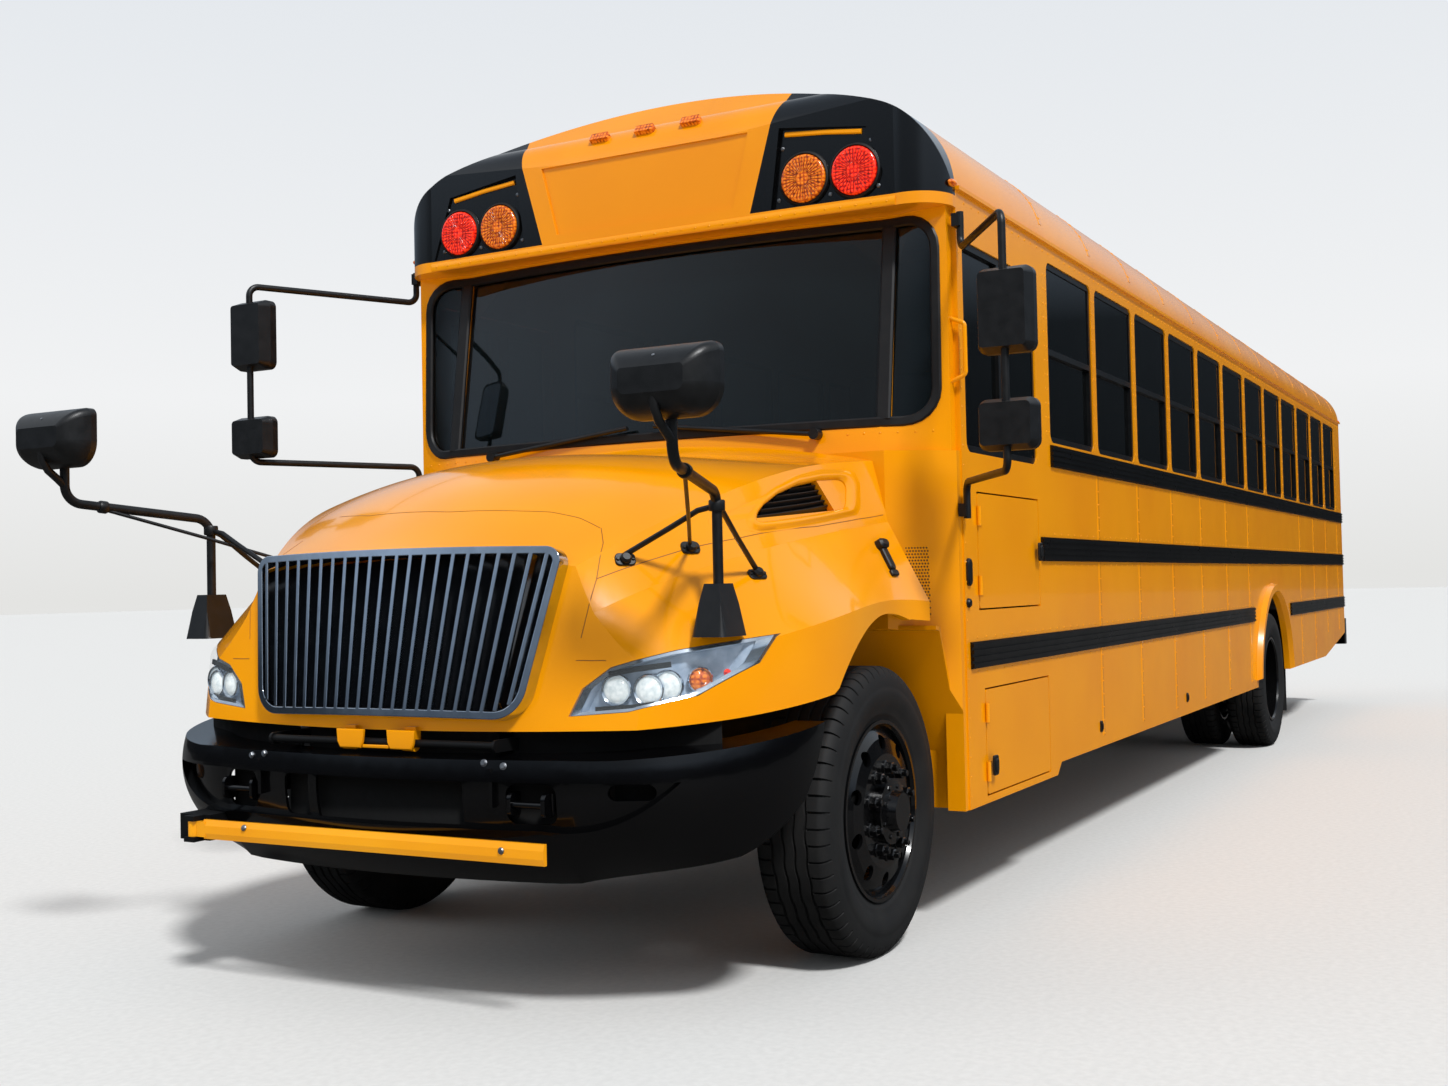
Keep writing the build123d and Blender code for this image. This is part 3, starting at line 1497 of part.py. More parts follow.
# Crossing arm actuator: a sealed box on the bumper with a forked lug
actuator_depth = 160
with BuildPart() as arm_actuator:
    for side in (1, -1):
        lug_z = arm_low_z + arm_height / 2 + side * (arm_height * 0.4 + 8 + fit_gap)
        with Locations((arm_pivot[0], arm_pivot[1], lug_z)):
            Box(44, 44, 16)
    with Locations((arm_pivot[0] - 22 - actuator_depth / 2, arm_pivot[1] - 20, arm_low_z + arm_height / 2)):
        Box(actuator_depth, 130, arm_height * 0.8 + 32 + 2 * fit_gap)
    add(bumper_block(0), mode=Mode.SUBTRACT)

arm_actuator.part.label = "arm_actuator"
export_step(arm_actuator.part, "parts/arm_actuator.step")


# Rear bumper: a deep channel across the tail, bolted to the frame's ends
rear_bumper_low_z = 560
rear_bumper_top_z = 800
rear_bumper_x = rear_axle_x - rear_reach
rear_bumper_wall = 8
with BuildPart() as rear_bumper:
    with BuildSketch(Plane.XY.offset(rear_bumper_low_z)):
        with Locations(((rear_bumper_x + body_rear_x) / 2 - fit_gap / 2, 0)):
            RectangleRounded(body_rear_x - rear_bumper_x - fit_gap, 2 * body_half_width, 35)
    extrude(amount=rear_bumper_top_z - rear_bumper_low_z)
    with BuildSketch(Plane.XY.offset(rear_bumper_low_z + rear_bumper_wall)):
        with Locations(((rear_bumper_x + body_rear_x) / 2 + rear_bumper_wall, 0)):
            Rectangle(
                body_rear_x - rear_bumper_x, 2 * (body_half_width - rear_bumper_wall)
            )
    extrude(
        amount=rear_bumper_top_z - rear_bumper_low_z - 2 * rear_bumper_wall, mode=Mode.SUBTRACT
    )
    # Brackets from the web to the ends of the frame rails
    for side in (1, -1):
        bracket_length = frame_rear_x - fit_gap - rear_bumper_x - rear_bumper_wall / 2
        with Locations(
            (
                rear_bumper_x + rear_bumper_wall / 2 + bracket_length / 2,
                side * (rail_outer_y - rail_flange / 2),
                (frame_low_z + rear_bumper_top_z) / 2,
            )
        ):
            Box(bracket_length, rail_flange, rear_bumper_top_z - frame_low_z - 4 * rear_bumper_wall)

rear_bumper.part.label = "rear_bumper"
export_step(rear_bumper.part, "parts/rear_bumper.step")


# Wheels. The profile plane of a wheel has its first axis pointing outwards
tyre_sides = 40
tyre_bead = 103.5
bead_height = 9
tyre_rows = (   # offset from the tyre's middle, radius; from side to side
    (-tyre_width / 2, 384),
    (4 - tyre_width / 2, 428),
    (-119, 461),
    (-97, tyre_radius),
    (97, tyre_radius),
    (119, 461),
    (tyre_width / 2 - 4, 428),
    (tyre_width / 2, 384),
)


def tyre_section(offset, radius, to_flats=False):
    """A many-sided section of a tyre, square to its spin axis."""
    with BuildSketch(Plane(origin=(0, offset, 0), x_dir=(1, 0, 0), z_dir=(0, 1, 0))) as section:
        RegularPolygon(radius, tyre_sides, major_radius=not to_flats)
    return section.sketch


# A tyre of many flat-sided rings about the Y axis: tread, shoulders and bulged
# sidewalls that run down over the rim's flanges to the beads
tyre_seat = rim_seat_radius + fit_gap
with BuildPart() as tyre:
    loft(sections=[tyre_section(offset, radius) for offset, radius in tyre_rows], ruled=True)
    extrude(tyre_section(0, tyre_seat, to_flats=True), amount=tyre_width / 2, both=True, mode=Mode.SUBTRACT)
    for end in (1, -1):
        loft(
            sections=[
                tyre_section(end * tyre_bead, tyre_seat, to_flats=True),
                tyre_section(end * (tyre_bead + 5), tyre_seat + bead_height, to_flats=True),
                tyre_section(end * tyre_width / 2, tyre_rows[0][1]),
            ],
            ruled=True,
            mode=Mode.SUBTRACT,
        )


def wheel_disc(plane, axis, facing, outset, hub_end, hub_start):
    """A steel disc wheel: flanged barrel, conical disc on its outset face and
    the hub through its centre. Facing is -1 for the dished side outwards."""
    u = facing
    with BuildPart() as disc:
        with BuildSketch(plane):
            with BuildLine():
                Polyline(
                    (u * outset, 0),
                    (u * outset, 188),
                    (u * (outset + 104) / 2, 240),
                    (u * 100, 262),
                    (u * 88, 281),
                    (u * 104, 281),
                    (u * 116, 287),
                    (u * 116, rim_flange_radius),
                    (u * 109, rim_flange_radius),
                    (u * 104, rim_seat_radius),
                    (-u * 104, rim_seat_radius),
                    (-u * 109, rim_flange_radius),
                    (-u * 116, rim_flange_radius),
                    (-u * 116, 287),
                    (-u * 104, 281),
                    (u * 76, 281),
                    (u * 90, 254),
                    (u * ((outset + 104) / 2 - 10), 232),
                    (u * (outset - 10), 184),
                    (u * (outset - 10), 0),
                    close=True,
                )
            make_face()
        revolve(axis=axis)
        # Hand holes round the cone
        for i in range(hand_hole_count):
            hole_angle = radians(360 / hand_hole_count * (i + 0.5))
            hole_centre = (
                plane.origin.X + hand_hole_radius * cos(hole_angle),
                plane.origin.Y,
                plane.origin.Z + hand_hole_radius * sin(hole_angle),
            )
            with Locations(Location(hole_centre, (90, 0, 0))):
                Cylinder(hand_hole_size / 2, 2 * outset + 10, mode=Mode.SUBTRACT)
        with BuildSketch(plane):
            with BuildLine():
                Polyline(
                    (hub_start, 0),
                    (hub_start, hub_radius),
                    (hub_end - 35, hub_radius),
                    (hub_end - 30, 70),
                    (hub_end, 62),
                    (hub_end, 0),
                    close=True,
                )
            make_face()
        revolve(axis=axis)
    return disc.part


hand_hole_count = 10
hand_hole_radius = 226
hand_hole_size = 50
rear_outset = dual_spacing / 2
drum_radius = 205
drum_length = 90
for side, side_name in ((1, "left"), (-1, "right")):
    # Front wheel
    front_plane = Plane(
        origin=(front_axle_x, side * front_wheel_y, tyre_radius),
        x_dir=(0, side, 0),
        z_dir=(side, 0, 0),
    )
    front_spin = Axis((front_axle_x, 0, tyre_radius), (0, 1, 0))
    front_tyre = tyre.part.moved(Location((front_axle_x, side * front_wheel_y, tyre_radius)))
    front_tyre.label = f"front_tyre_{side_name}"
    export_step(front_tyre, f"parts/front_tyre_{side_name}.step")
    front_wheel = wheel_disc(front_plane, front_spin, 1, disc_outset, disc_outset + 60, 62)
    front_wheel.label = f"front_wheel_{side_name}"
    export_step(front_wheel, f"parts/front_wheel_{side_name}.step")

    # Steering knuckle: yoke round the kingpin eye, spindle and brake drum
    with BuildPart() as knuckle:
        for up in (1, -1):
            yoke_z = kingpin_z + up * (kingpin_eye_half + fit_gap + 15)
            with Locations((front_axle_x, side * (kingpin_y + 10), yoke_z)):
                Box(80, 100, 30)
        with Locations((front_axle_x, side * (kingpin_y + 53), kingpin_z)):
            Box(90, 18, 2 * (kingpin_eye_half + fit_gap + 30))
        with Locations(Location((front_axle_x, side * (kingpin_y + 102), tyre_radius), (90, 0, 0))):
            Cylinder(drum_radius, 90)
        spindle_end = front_wheel_y + 62 - fit_gap
        with Locations(
            Location((front_axle_x, side * (kingpin_y + 60 + spindle_end) / 2, tyre_radius), (90, 0, 0))
        ):
            Cylinder(60, spindle_end - kingpin_y - 60)
    knuckle.part.label = f"knuckle_{side_name}"
    export_step(knuckle.part, f"parts/knuckle_{side_name}.step")

    # Twin rear wheels, dished side out, bolted back to back on one hub
    rear_spin = Axis((rear_axle_x, 0, tyre_radius), (0, 1, 0))
    with BuildPart() as rear_wheels:
        for wheel_y, facing in ((rear_outer_y, -1), (rear_inner_y, 1)):
            rear_plane = Plane(
                origin=(rear_axle_x, side * wheel_y, tyre_radius),
                x_dir=(0, side, 0),
                z_dir=(side, 0, 0),
            )
            hub_start = dual_middle_y - wheel_y - hub_inset
            hub_end = dual_middle_y - wheel_y + 150
            add(wheel_disc(rear_plane, rear_spin, facing, rear_outset, hub_end, hub_start))
        # Brake drum behind the inner wheel, open round the axle tube
        with BuildSketch(Plane.XZ.offset(-side * (dual_middle_y - hub_inset - drum_length))):
            with Locations((rear_axle_x, tyre_radius)):
                Circle(drum_radius)
                Circle(axle_tube_radius + 8, mode=Mode.SUBTRACT)
        extrude(amount=-side * (drum_length + 5))
    rear_wheels.part.label = f"rear_wheels_{side_name}"
    export_step(rear_wheels.part, f"parts/rear_wheels_{side_name}.step")
    with BuildPart() as rear_tyres:
        for wheel_y in (rear_outer_y, rear_inner_y):
            add(tyre.part.moved(Location((rear_axle_x, side * wheel_y, tyre_radius))))
    rear_tyres.part.label = f"rear_tyres_{side_name}"
    export_step(rear_tyres.part, f"parts/rear_tyres_{side_name}.step")


# Mud flaps behind the rear wheels and the small guards in front of them
flap_low_z = 190
flap_thickness = 10
with BuildPart() as mud_flaps:
    for side in (1, -1):
        with Locations(
            (
                rear_axle_x - arch_radius - 35,
                side * (inner_half_width + wheelhouse_inner_y + 130) / 2,
                (flap_low_z + floor_top_z - floor_thickness) / 2,
            )
        ):
            Box(
                flap_thickness,
                inner_half_width - wheelhouse_inner_y - 130,
                floor_top_z - floor_thickness - flap_low_z - 2 * fit_gap,
            )

mud_flaps.part.label = "mud_flaps"
export_step(mud_flaps.part, "parts/mud_flaps.step")


def hinge_barrel(x, y, low_z, high_z):
    """One hinge knuckle: an upright round barrel at the pivot."""
    with BuildPart() as barrel:
        with Locations((x, y, (low_z + high_z) / 2)):
            Cylinder(hinge_radius, high_z - low_z)
    return barrel.part


# Entry door: two glazed leaves that open outwards from the middle
leaf_width = (entry_front_x - entry_rear_x - 3 * door_gap) / 2
leaf_low_z = entry_low_z + door_gap
leaf_top_z = entry_top_z - door_gap
leaf_border = 62
leaf_split_z = 1290
leaf_y = -body_half_width + leaf_thickness / 2
for leaf_name, centre_x, hinge_x, inward in (
    ("front", entry_front_x - door_gap - leaf_width / 2, entry_front_x, -1),
    ("rear", entry_rear_x + door_gap + leaf_width / 2, entry_rear_x, 1),
):
    pane_rows = (
        (leaf_low_z + 110, leaf_split_z - leaf_border / 2),
        (leaf_split_z + leaf_border / 2, leaf_top_z - leaf_border),
    )
    with BuildPart() as leaf:
        with BuildSketch(Plane.XZ.offset(body_half_width)):
            with Locations((centre_x, (leaf_low_z + leaf_top_z) / 2)):
                Rectangle(leaf_width, leaf_top_z - leaf_low_z)
            for low_z, top_z in pane_rows:
                with Locations((centre_x, (low_z + top_z) / 2)):
                    Rectangle(leaf_width - 2 * leaf_border, top_z - low_z, mode=Mode.SUBTRACT)
        extrude(amount=-leaf_thickness)
        for z in (leaf_low_z + 150, leaf_split_z, leaf_top_z - 150):
            add(
                hinge_barrel(
                    hinge_x, -body_half_width - hinge_offset, z - hinge_length / 2, z + hinge_length / 2
                )
            )
            with Locations((hinge_x + inward * 24, -body_half_width - hinge_leaf / 2, z)):
                Box(44, hinge_leaf, hinge_length)
    leaf.part.label = f"entry_leaf_{leaf_name}"
    export_step(leaf.part, f"parts/entry_leaf_{leaf_name}.step")
    with BuildPart() as leaf_glass:
        for low_z, top_z in pane_rows:
            with Locations((centre_x, leaf_y, (low_z + top_z) / 2)):
                Box(
                    leaf_width - 2 * leaf_border - 2 * fit_gap,
                    glass_thickness,
                    top_z - low_z - 2 * fit_gap,
                )
    leaf_glass.part.label = f"entry_glass_{leaf_name}"
    export_step(leaf_glass.part, f"parts/entry_glass_{leaf_name}.step")


# Rear emergency door with its two panes
rear_pane_half = rear_door_half - 95
rear_pane_rows = (
    (rear_door_low_z + 130, rear_door_low_z + 620),
    (rear_window_low_z, rear_window_top_z),
)
with BuildPart() as rear_door:
    with BuildSketch(Plane.YZ.offset(body_rear_x)):
        with Locations((0, (rear_door_low_z + rear_door_top_z) / 2)):
            Rectangle(
                2 * (rear_door_half - door_gap), rear_door_top_z - rear_door_low_z - 2 * door_gap
            )
        for low_z, top_z in rear_pane_rows:
            with Locations((0, (low_z + top_z) / 2)):
                RectangleRounded(2 * rear_pane_half, top_z - low_z, window_corner, mode=Mode.SUBTRACT)
    extrude(amount=wall)
    for z in (rear_door_low_z + 150, 1750, rear_door_top_z - 150):
        add(
            hinge_barrel(
                body_rear_x - hinge_offset, -rear_door_half, z - hinge_length / 2, z + hinge_length / 2
            )
        )
        with Locations((body_rear_x - hinge_leaf / 2, -rear_door_half + 24, z)):
            Box(hinge_leaf, 44, hinge_length)

rear_door.part.label = "rear_door"
export_step(rear_door.part, "parts/rear_door.step")

with BuildPart() as rear_door_glass:
    with BuildSketch(Plane.YZ.offset(body_rear_x + wall / 2)):
        for low_z, top_z in rear_pane_rows:
            with Locations((0, (low_z + top_z) / 2)):
                RectangleRounded(
                    2 * (rear_pane_half - fit_gap), top_z - low_z - 2 * fit_gap, window_corner - fit_gap
                )
    extrude(amount=glass_thickness)

rear_door_glass.part.label = "rear_door_glass"
export_step(rear_door_glass.part, "parts/rear_door_glass.step")


# Panel doors on the driver's side
for door_name, front_x, rear_x, low_z, top_z in (
    ("access_door", access_front_x, access_rear_x, access_low_z, access_top_z),
    ("battery_door", battery_front_x, battery_rear_x, battery_low_z, battery_top_z),
):
    with BuildPart() as panel_door:
        with Locations(
            ((front_x + rear_x) / 2, body_half_width - panel_door_thickness / 2, (low_z + top_z) / 2)
        ):
            Box(
                front_x - rear_x - 2 * door_gap, panel_door_thickness, top_z - low_z - 2 * door_gap
            )
        fillet(panel_door.edges().filter_by(Axis.Y), radius=18)
        for z in (low_z + 90, top_z - 90):
            add(
                hinge_barrel(
                    front_x, body_half_width + hinge_offset, z - hinge_length / 2, z + hinge_length / 2
                )
            )
            with Locations((front_x - 24, body_half_width + hinge_leaf / 2, z)):
                Box(44, hinge_leaf, hinge_length)
    panel_door.part.label = door_name
    export_step(panel_door.part, f"parts/{door_name}.step")


# Lamps: domed lenses of the warning lamps, the small clearance lamps and the
# stop and turn lamps on the tail
lens_height = 24
tail_lamp_y = 960
rear_lamp_y = 900
rear_lamp_pitch = 215
rear_lamp_z = 2745
marker_pitch = 208
marker_z = 3018


def lens(x, y, z, direction, radius):
    """A lamp's lens: a short drum with a rounded rim, facing along X."""
    with BuildPart() as lamp:
        with BuildSketch(Plane.YZ.offset(x)):
            with Locations((y, z)):
                Circle(radius)
        extrude(amount=direction * lens_height)
        fillet(lamp.edges().group_by(Axis.X)[-1 if direction > 0 else 0], radius=10)
    return lamp.part


panel_face_x = cap_face_x - lamp_panel_depth
with BuildPart() as amber_lamps:
    for side in (1, -1):
        add(lens(panel_face_x + fit_gap, side * amber_lamp_y, lamp_z, 1, lamp_radius))
        add(
            lens(
                body_rear_x - fit_gap,
                side * (rear_lamp_y - rear_lamp_pitch),
                rear_lamp_z,
                -1,
                lamp_radius,
            )
        )
        add(lens(body_rear_x - fit_gap, side * tail_lamp_y, 1560, -1, lamp_radius))
    # Clearance lamps along the brow of the cap, seated on its curve
    with BuildPart(mode=Mode.PRIVATE) as markers:
        for y in (-marker_pitch, 0, marker_pitch):
            with Locations(Location((cap_face_x - cap_edge / 2, y, marker_z), (0, -35, 0))):
                Box(40, 86, 34)
        fillet(markers.edges().filter_by(Axis.Y, reverse=True), radius=8)
        add(front_cap.part, mode=Mode.SUBTRACT)
    add(markers.part)

amber_lamps.part.label = "amber_lamps"
export_step(amber_lamps.part, "parts/amber_lamps.step")

with BuildPart() as red_lamps:
    for side in (1, -1):
        add(lens(panel_face_x + fit_gap, side * red_lamp_y, lamp_z, 1, lamp_radius))
        add(lens(body_rear_x - fit_gap, side * rear_lamp_y, rear_lamp_z, -1, lamp_radius))
        add(lens(body_rear_x - fit_gap, side * tail_lamp_y, 1345, -1, lamp_radius))

red_lamps.part.label = "red_lamps"
export_step(red_lamps.part, "parts/red_lamps.step")


# Crossover mirrors on the fenders: moulded foot, bent tube and a domed head
cross_foot = (913, 1000, 1090)
cross_head = (1445, 1140, 1750)
cross_tube = 15
cross_elbow_z = 1498
head_width = 310
head_height = 186
head_rim = 22
head_depth = 105


def head_outline(x, y, z, inset):
    """Rear view of a crossover mirror's head: straight above, round below."""
    with BuildSketch(Plane.YZ.offset(x)) as outline:
        with Locations((y, z)):
            Rectangle(head_width - 2 * inset, head_height - 2 * inset)
        fillet(outline.vertices().group_by(Axis.Y)[0], radius=80 - inset)
        fillet(outline.vertices().group_by(Axis.Y)[-1], radius=25 - inset / 4)
    return outline.sketch


with BuildPart() as crossover_mirrors:
    for side in (1, -1):
        foot_x = front_axle_x + cross_foot[0]
        foot_y = side * cross_foot[1]
        head_x = front_axle_x + front_reach - head_depth
        head_y = side * cross_head[1]
        head_z = cross_head[2]
        with BuildSketch(Plane.XY.offset(cross_foot[2])):
            with Locations((foot_x, foot_y)):
                RectangleRounded(150, 110, 20)
        extrude(amount=150, taper=12)
        add(hood_envelope.part, mode=Mode.SUBTRACT)
        with BuildLine() as stalk:
            FilletPolyline(
                (foot_x, foot_y, cross_foot[2] + 100),
                (foot_x, foot_y, cross_elbow_z),
                (head_x, head_y, cross_elbow_z + 50),
                (head_x, head_y, head_z),
                radius=60,
            )
        with BuildSketch(Plane(origin=stalk.line @ 0, z_dir=stalk.line % 0)):
            Circle(cross_tube)
        sweep(path=stalk.line)
        # Head: a flat rim towards the driver and a domed back, straight above
        # and round below
        extrude(head_outline(head_x, head_y, head_z, 0), amount=head_rim)
        loft(
            sections=[
                head_outline(head_x + setback, head_y, head_z, inset)
                for setback, inset in ((head_rim, 0), (head_rim + 50, 20), (head_depth, 60))
            ]
        )

crossover_mirrors.part.label = "crossover_mirrors"
export_step(crossover_mirrors.part, "parts/crossover_mirrors.step")


# Side mirrors: a bent tube frame from the front pillar with two heads on it.
# Each row: side, tube position, heights of the top and bottom bends, and the
# middles of the large and the small head
mirror_reach_y = 1645
mirror_tube = 13
large_head = (80, 190, 280)
small_head = (70, 200, 168)
side_mirror_rows = (
    (1, -30, 2425, 1585, 2105, 1735),
    (-1, 180, 2490, 1775, 2290, 1875),
)
pillar_mount_x = body_front_x + 25
pillar_mount_y = body_half_width + 25
with BuildPart() as side_mirrors:
    for side, tube_x, high_z, low_z, large_z, small_z in side_mirror_rows:
        tube_y = side * (mirror_reach_y - large_head[1] / 2)
        with BuildLine() as mirror_frame:
            FilletPolyline(
                (pillar_mount_x, side * pillar_mount_y, high_z + 130),
                (pillar_mount_x, side * pillar_mount_y, high_z),
                (front_axle_x + tube_x, tube_y, high_z),
                (front_axle_x + tube_x, tube_y, low_z),
                (pillar_mount_x, side * pillar_mount_y, low_z),
                (pillar_mount_x, side * pillar_mount_y, low_z - 130),
                radius=40,
            )
        with BuildSketch(Plane(origin=mirror_frame.line @ 0, z_dir=mirror_frame.line % 0)):
            Circle(mirror_tube)
        sweep(path=mirror_frame.line)
        for z in (high_z + 100, low_z - 100):
            with Locations((pillar_mount_x, side * (body_half_width + 15 + fit_gap), z)):
                Box(50, 30, 46)
        for (depth, width, height), z in ((large_head, large_z), (small_head, small_z)):
            with BuildSketch(Plane.YZ.offset(front_axle_x + tube_x - 20)):
                with Locations((tube_y, z)):
                    RectangleRounded(width, height, 30)
            extrude(amount=-depth * 0.4)
            with BuildSketch(Plane.YZ.offset(front_axle_x + tube_x - 20)):
                with Locations((tube_y, z)):
                    RectangleRounded(width, height, 30)
            extrude(amount=depth * 0.6, taper=20)

side_mirrors.part.label = "side_mirrors"
export_step(side_mirrors.part, "parts/side_mirrors.step")


# Headlamps: lens units let into the front corners of the hood
with BuildPart() as lamp_space:
    loft(
        sections=[
            hood_outline(row, headlamp_depth, hood_low_z - 60, shift)
            for row, shift in zip(hood_rows, lamp_inner_shifts)
        ]
    )
    add(nose_block(headlamp_depth), mode=Mode.INTERSECT)

with BuildPart() as headlamps:
    for side in (1, -1):
        extrude(headlamp_sketch(side, fit_gap), amount=600)
    add(hood_envelope.part, mode=Mode.INTERSECT)
    add(lamp_space.part, mode=Mode.SUBTRACT)

headlamps.part.label = "headlamps"
export_step(headlamps.part, "parts/headlamps.step")


# Dashboard along the windshield's base, with the steering column
dash_top_z = windshield_base_z - wall - fit_gap
dash_low_z = 1330
steering_centre = (front_axle_x - 880, 560, 1640)
steering_tilt = 35
dash_left_y = 970
dash_right_y = stepwell_inner_y + 10
with BuildPart() as dashboard:
    with BuildSketch(Plane.XZ.offset(-dash_left_y)):
        with BuildLine():
            Polyline(
                (front_axle_x - 400, dash_top_z),
                (front_axle_x - 720, dash_top_z),
                (front_axle_x - 800, dash_top_z - 90),
                (front_axle_x - 760, dash_low_z),
                (front_axle_x - 560, dash_low_z),
                (front_axle_x - 540, dash_top_z - 60),
                (front_axle_x - 400, dash_top_z - 60),
                close=True,
            )
        make_face()
    extrude(amount=dash_left_y - dash_right_y)
    column_plane = Plane(
        origin=steering_centre,
        z_dir=(sin(radians(steering_tilt)), 0, -cos(radians(steering_tilt))),
    )
    with BuildSketch(column_plane.offset(20 + fit_gap)):
        Circle(38)
    extrude(amount=420)

dashboard.part.label = "dashboard"
export_step(dashboard.part, "parts/dashboard.step")


# Steering wheel: rim, three spokes and a boss on the tilted column
steering_rim_radius = 225
steering_plane = Plane(
    origin=steering_centre, z_dir=(-sin(radians(steering_tilt)), 0, cos(radians(steering_tilt)))
)
with BuildPart() as steering_wheel:
    with BuildSketch(steering_plane):
        Circle(45)
    extrude(amount=20, both=True)
    for angle in (0, 120, 240):
        spoke = steering_plane.rotated((0, 0, angle))
        with BuildSketch(spoke):
            with Locations((steering_rim_radius / 2, 0)):
                Rectangle(steering_rim_radius, 32)
        extrude(amount=6, both=True)
    rim_plane = Plane(
        origin=steering_plane.origin + steering_plane.x_dir * steering_rim_radius,
        z_dir=steering_plane.y_dir,
    )
    with BuildSketch(rim_plane):
        Circle(15)
    revolve(axis=Axis(steering_plane.origin, steering_plane.z_dir))

steering_wheel.part.label = "steering_wheel"
export_step(steering_wheel.part, "parts/steering_wheel.step")


# Driver's seat on its pedestal
driver_seat_x = front_axle_x - 1330
driver_seat_z = floor_top_z + 440
with BuildPart() as driver_seat:
    with Locations((driver_seat_x, steering_centre[1], driver_seat_z)):
        Box(500, 520, 110)
    with Locations(Location((driver_seat_x - 250, steering_centre[1], driver_seat_z + 360), (0, -8, 0))):
        Box(100, 500, 720)
    with Locations((driver_seat_x, steering_centre[1], (floor_top_z + driver_seat_z) / 2)):
        Box(280, 300, driver_seat_z - floor_top_z)

driver_seat.part.label = "driver_seat"
export_step(driver_seat.part, "parts/driver_seat.step")


# Passenger benches: twelve rows on each side of the aisle
bench_rows = 12
bench_pitch = 738
bench_first_x = front_axle_x - 2150
bench_length = 960
bench_seat_z = floor_top_z + 400
bench_back_top_z = floor_top_z + 1060
cushion_thickness = 110
back_thickness = 85
cushion_depth = 400
bench_y = inner_half_width - 25 - bench_length / 2
with BuildPart() as bench_cushions:
    for side in (1, -1):
        for i in range(bench_rows):
            x = bench_first_x - i * bench_pitch
            with Locations((x, side * bench_y, bench_seat_z - cushion_thickness / 2)):
                Box(cushion_depth, bench_length, cushion_thickness)
            with Locations(
                (
                    x - cushion_depth / 2 - back_thickness / 2 - fit_gap,
                    side * bench_y,
                    (bench_seat_z - 60 + bench_back_top_z) / 2,
                )
            ):
                Box(back_thickness, bench_length, bench_back_top_z - bench_seat_z + 60)

bench_cushions.part.label = "bench_cushions"
export_step(bench_cushions.part, "parts/bench_cushions.step")

with BuildPart() as bench_frames:
    for side in (1, -1):
        for i in range(bench_rows):
            x = bench_first_x - i * bench_pitch
            under_z = bench_seat_z - cushion_thickness - fit_gap
            with Locations((x, side * bench_y, under_z - 15)):
                Box(cushion_depth, bench_length - 40, 30)
            leg_y = bench_y - bench_length / 2 + 60
            with Locations((x, side * leg_y, (floor_top_z + fit_gap + under_z - 30) / 2)):
                Box(cushion_depth * 0.7, 30, under_z - 30 - floor_top_z - fit_gap)

bench_frames.part.label = "bench_frames"
export_step(bench_frames.part, "parts/bench_frames.step")


# Wipers parked along the foot of the windshield: pivots, arms and blades
wiper_pivot = (728, 1778)
wiper_tip = (60, 1850)


def surround_face_x(y, z):
    """Position of the windshield surround's face at one side and height."""
    height = (z - windshield_base_z) / (surround_top_z - windshield_base_z)
    rake = (windshield_high_x - windshield_low_x) * height
    return windshield_low_x + rake - windshield_sag * (y / windshield_divider_y) ** 2


with BuildPart() as wipers:
    for side in (1, -1):
        pivot_y, pivot_z = wiper_pivot
        tip_y, tip_z = wiper_tip
        pivot_x = surround_face_x(pivot_y, pivot_z) + 4
        tip_x = surround_face_x(tip_y, tip_z) + 24
        with Locations(Location((pivot_x + 20, side * pivot_y, pivot_z), (0, 90, 0))):
            Cylinder(20, 40)
        arm_start = Vector(pivot_x + 26, side * pivot_y, pivot_z)
        arm_end = Vector(tip_x, side * tip_y, tip_z)
        with BuildSketch(Plane(origin=arm_start, z_dir=arm_end - arm_start)):
            Circle(9)
        extrude(amount=(arm_end - arm_start).length)

wipers.part.label = "wipers"
export_step(wipers.part, "parts/wipers.step")
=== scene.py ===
"""School bus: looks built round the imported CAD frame, in metres."""

import bmesh
import bpy
import numpy as np
from mathutils import Matrix, Vector
from mathutils.bvhtree import BVHTree


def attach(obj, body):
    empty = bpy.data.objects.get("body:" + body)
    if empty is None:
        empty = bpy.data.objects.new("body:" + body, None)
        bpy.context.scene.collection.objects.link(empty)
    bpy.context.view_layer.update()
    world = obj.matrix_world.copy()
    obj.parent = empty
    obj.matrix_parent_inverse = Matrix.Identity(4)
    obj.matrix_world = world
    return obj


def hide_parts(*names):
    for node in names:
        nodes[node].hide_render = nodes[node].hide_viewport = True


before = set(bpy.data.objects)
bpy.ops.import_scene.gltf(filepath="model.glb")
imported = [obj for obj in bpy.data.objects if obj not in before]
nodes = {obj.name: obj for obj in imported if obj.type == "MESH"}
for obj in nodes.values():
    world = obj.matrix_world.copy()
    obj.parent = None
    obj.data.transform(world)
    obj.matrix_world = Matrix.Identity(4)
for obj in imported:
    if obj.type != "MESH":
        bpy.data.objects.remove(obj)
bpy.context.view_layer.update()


# Camera. It stands a little ahead of the bus on the driver's side, low, at the
# place worked out from the bus's known width, wheelbase and rims, with the
# photograph's small roll. Sizes are in metres in the bus's own frame.
camera_place = np.array((9.5967, 3.1319, 1.2327))
camera_yaw, camera_pitch, camera_roll = 0.499, 0.0276, -0.0212
focal_pixels, picture_width, sensor, view_depth = 1555.33, 1448, 36.0, 400
camera_ahead = np.array(
    (
        -np.cos(camera_yaw) * np.cos(camera_pitch),
        -np.sin(camera_yaw) * np.cos(camera_pitch),
        np.sin(camera_pitch),
    )
)
level_right = np.cross(camera_ahead, (0, 0, 1))
level_right = level_right / np.linalg.norm(level_right)
level_up = np.cross(level_right, camera_ahead)
camera_right = level_right * np.cos(camera_roll) + level_up * np.sin(camera_roll)
camera_up = level_up * np.cos(camera_roll) - level_right * np.sin(camera_roll)
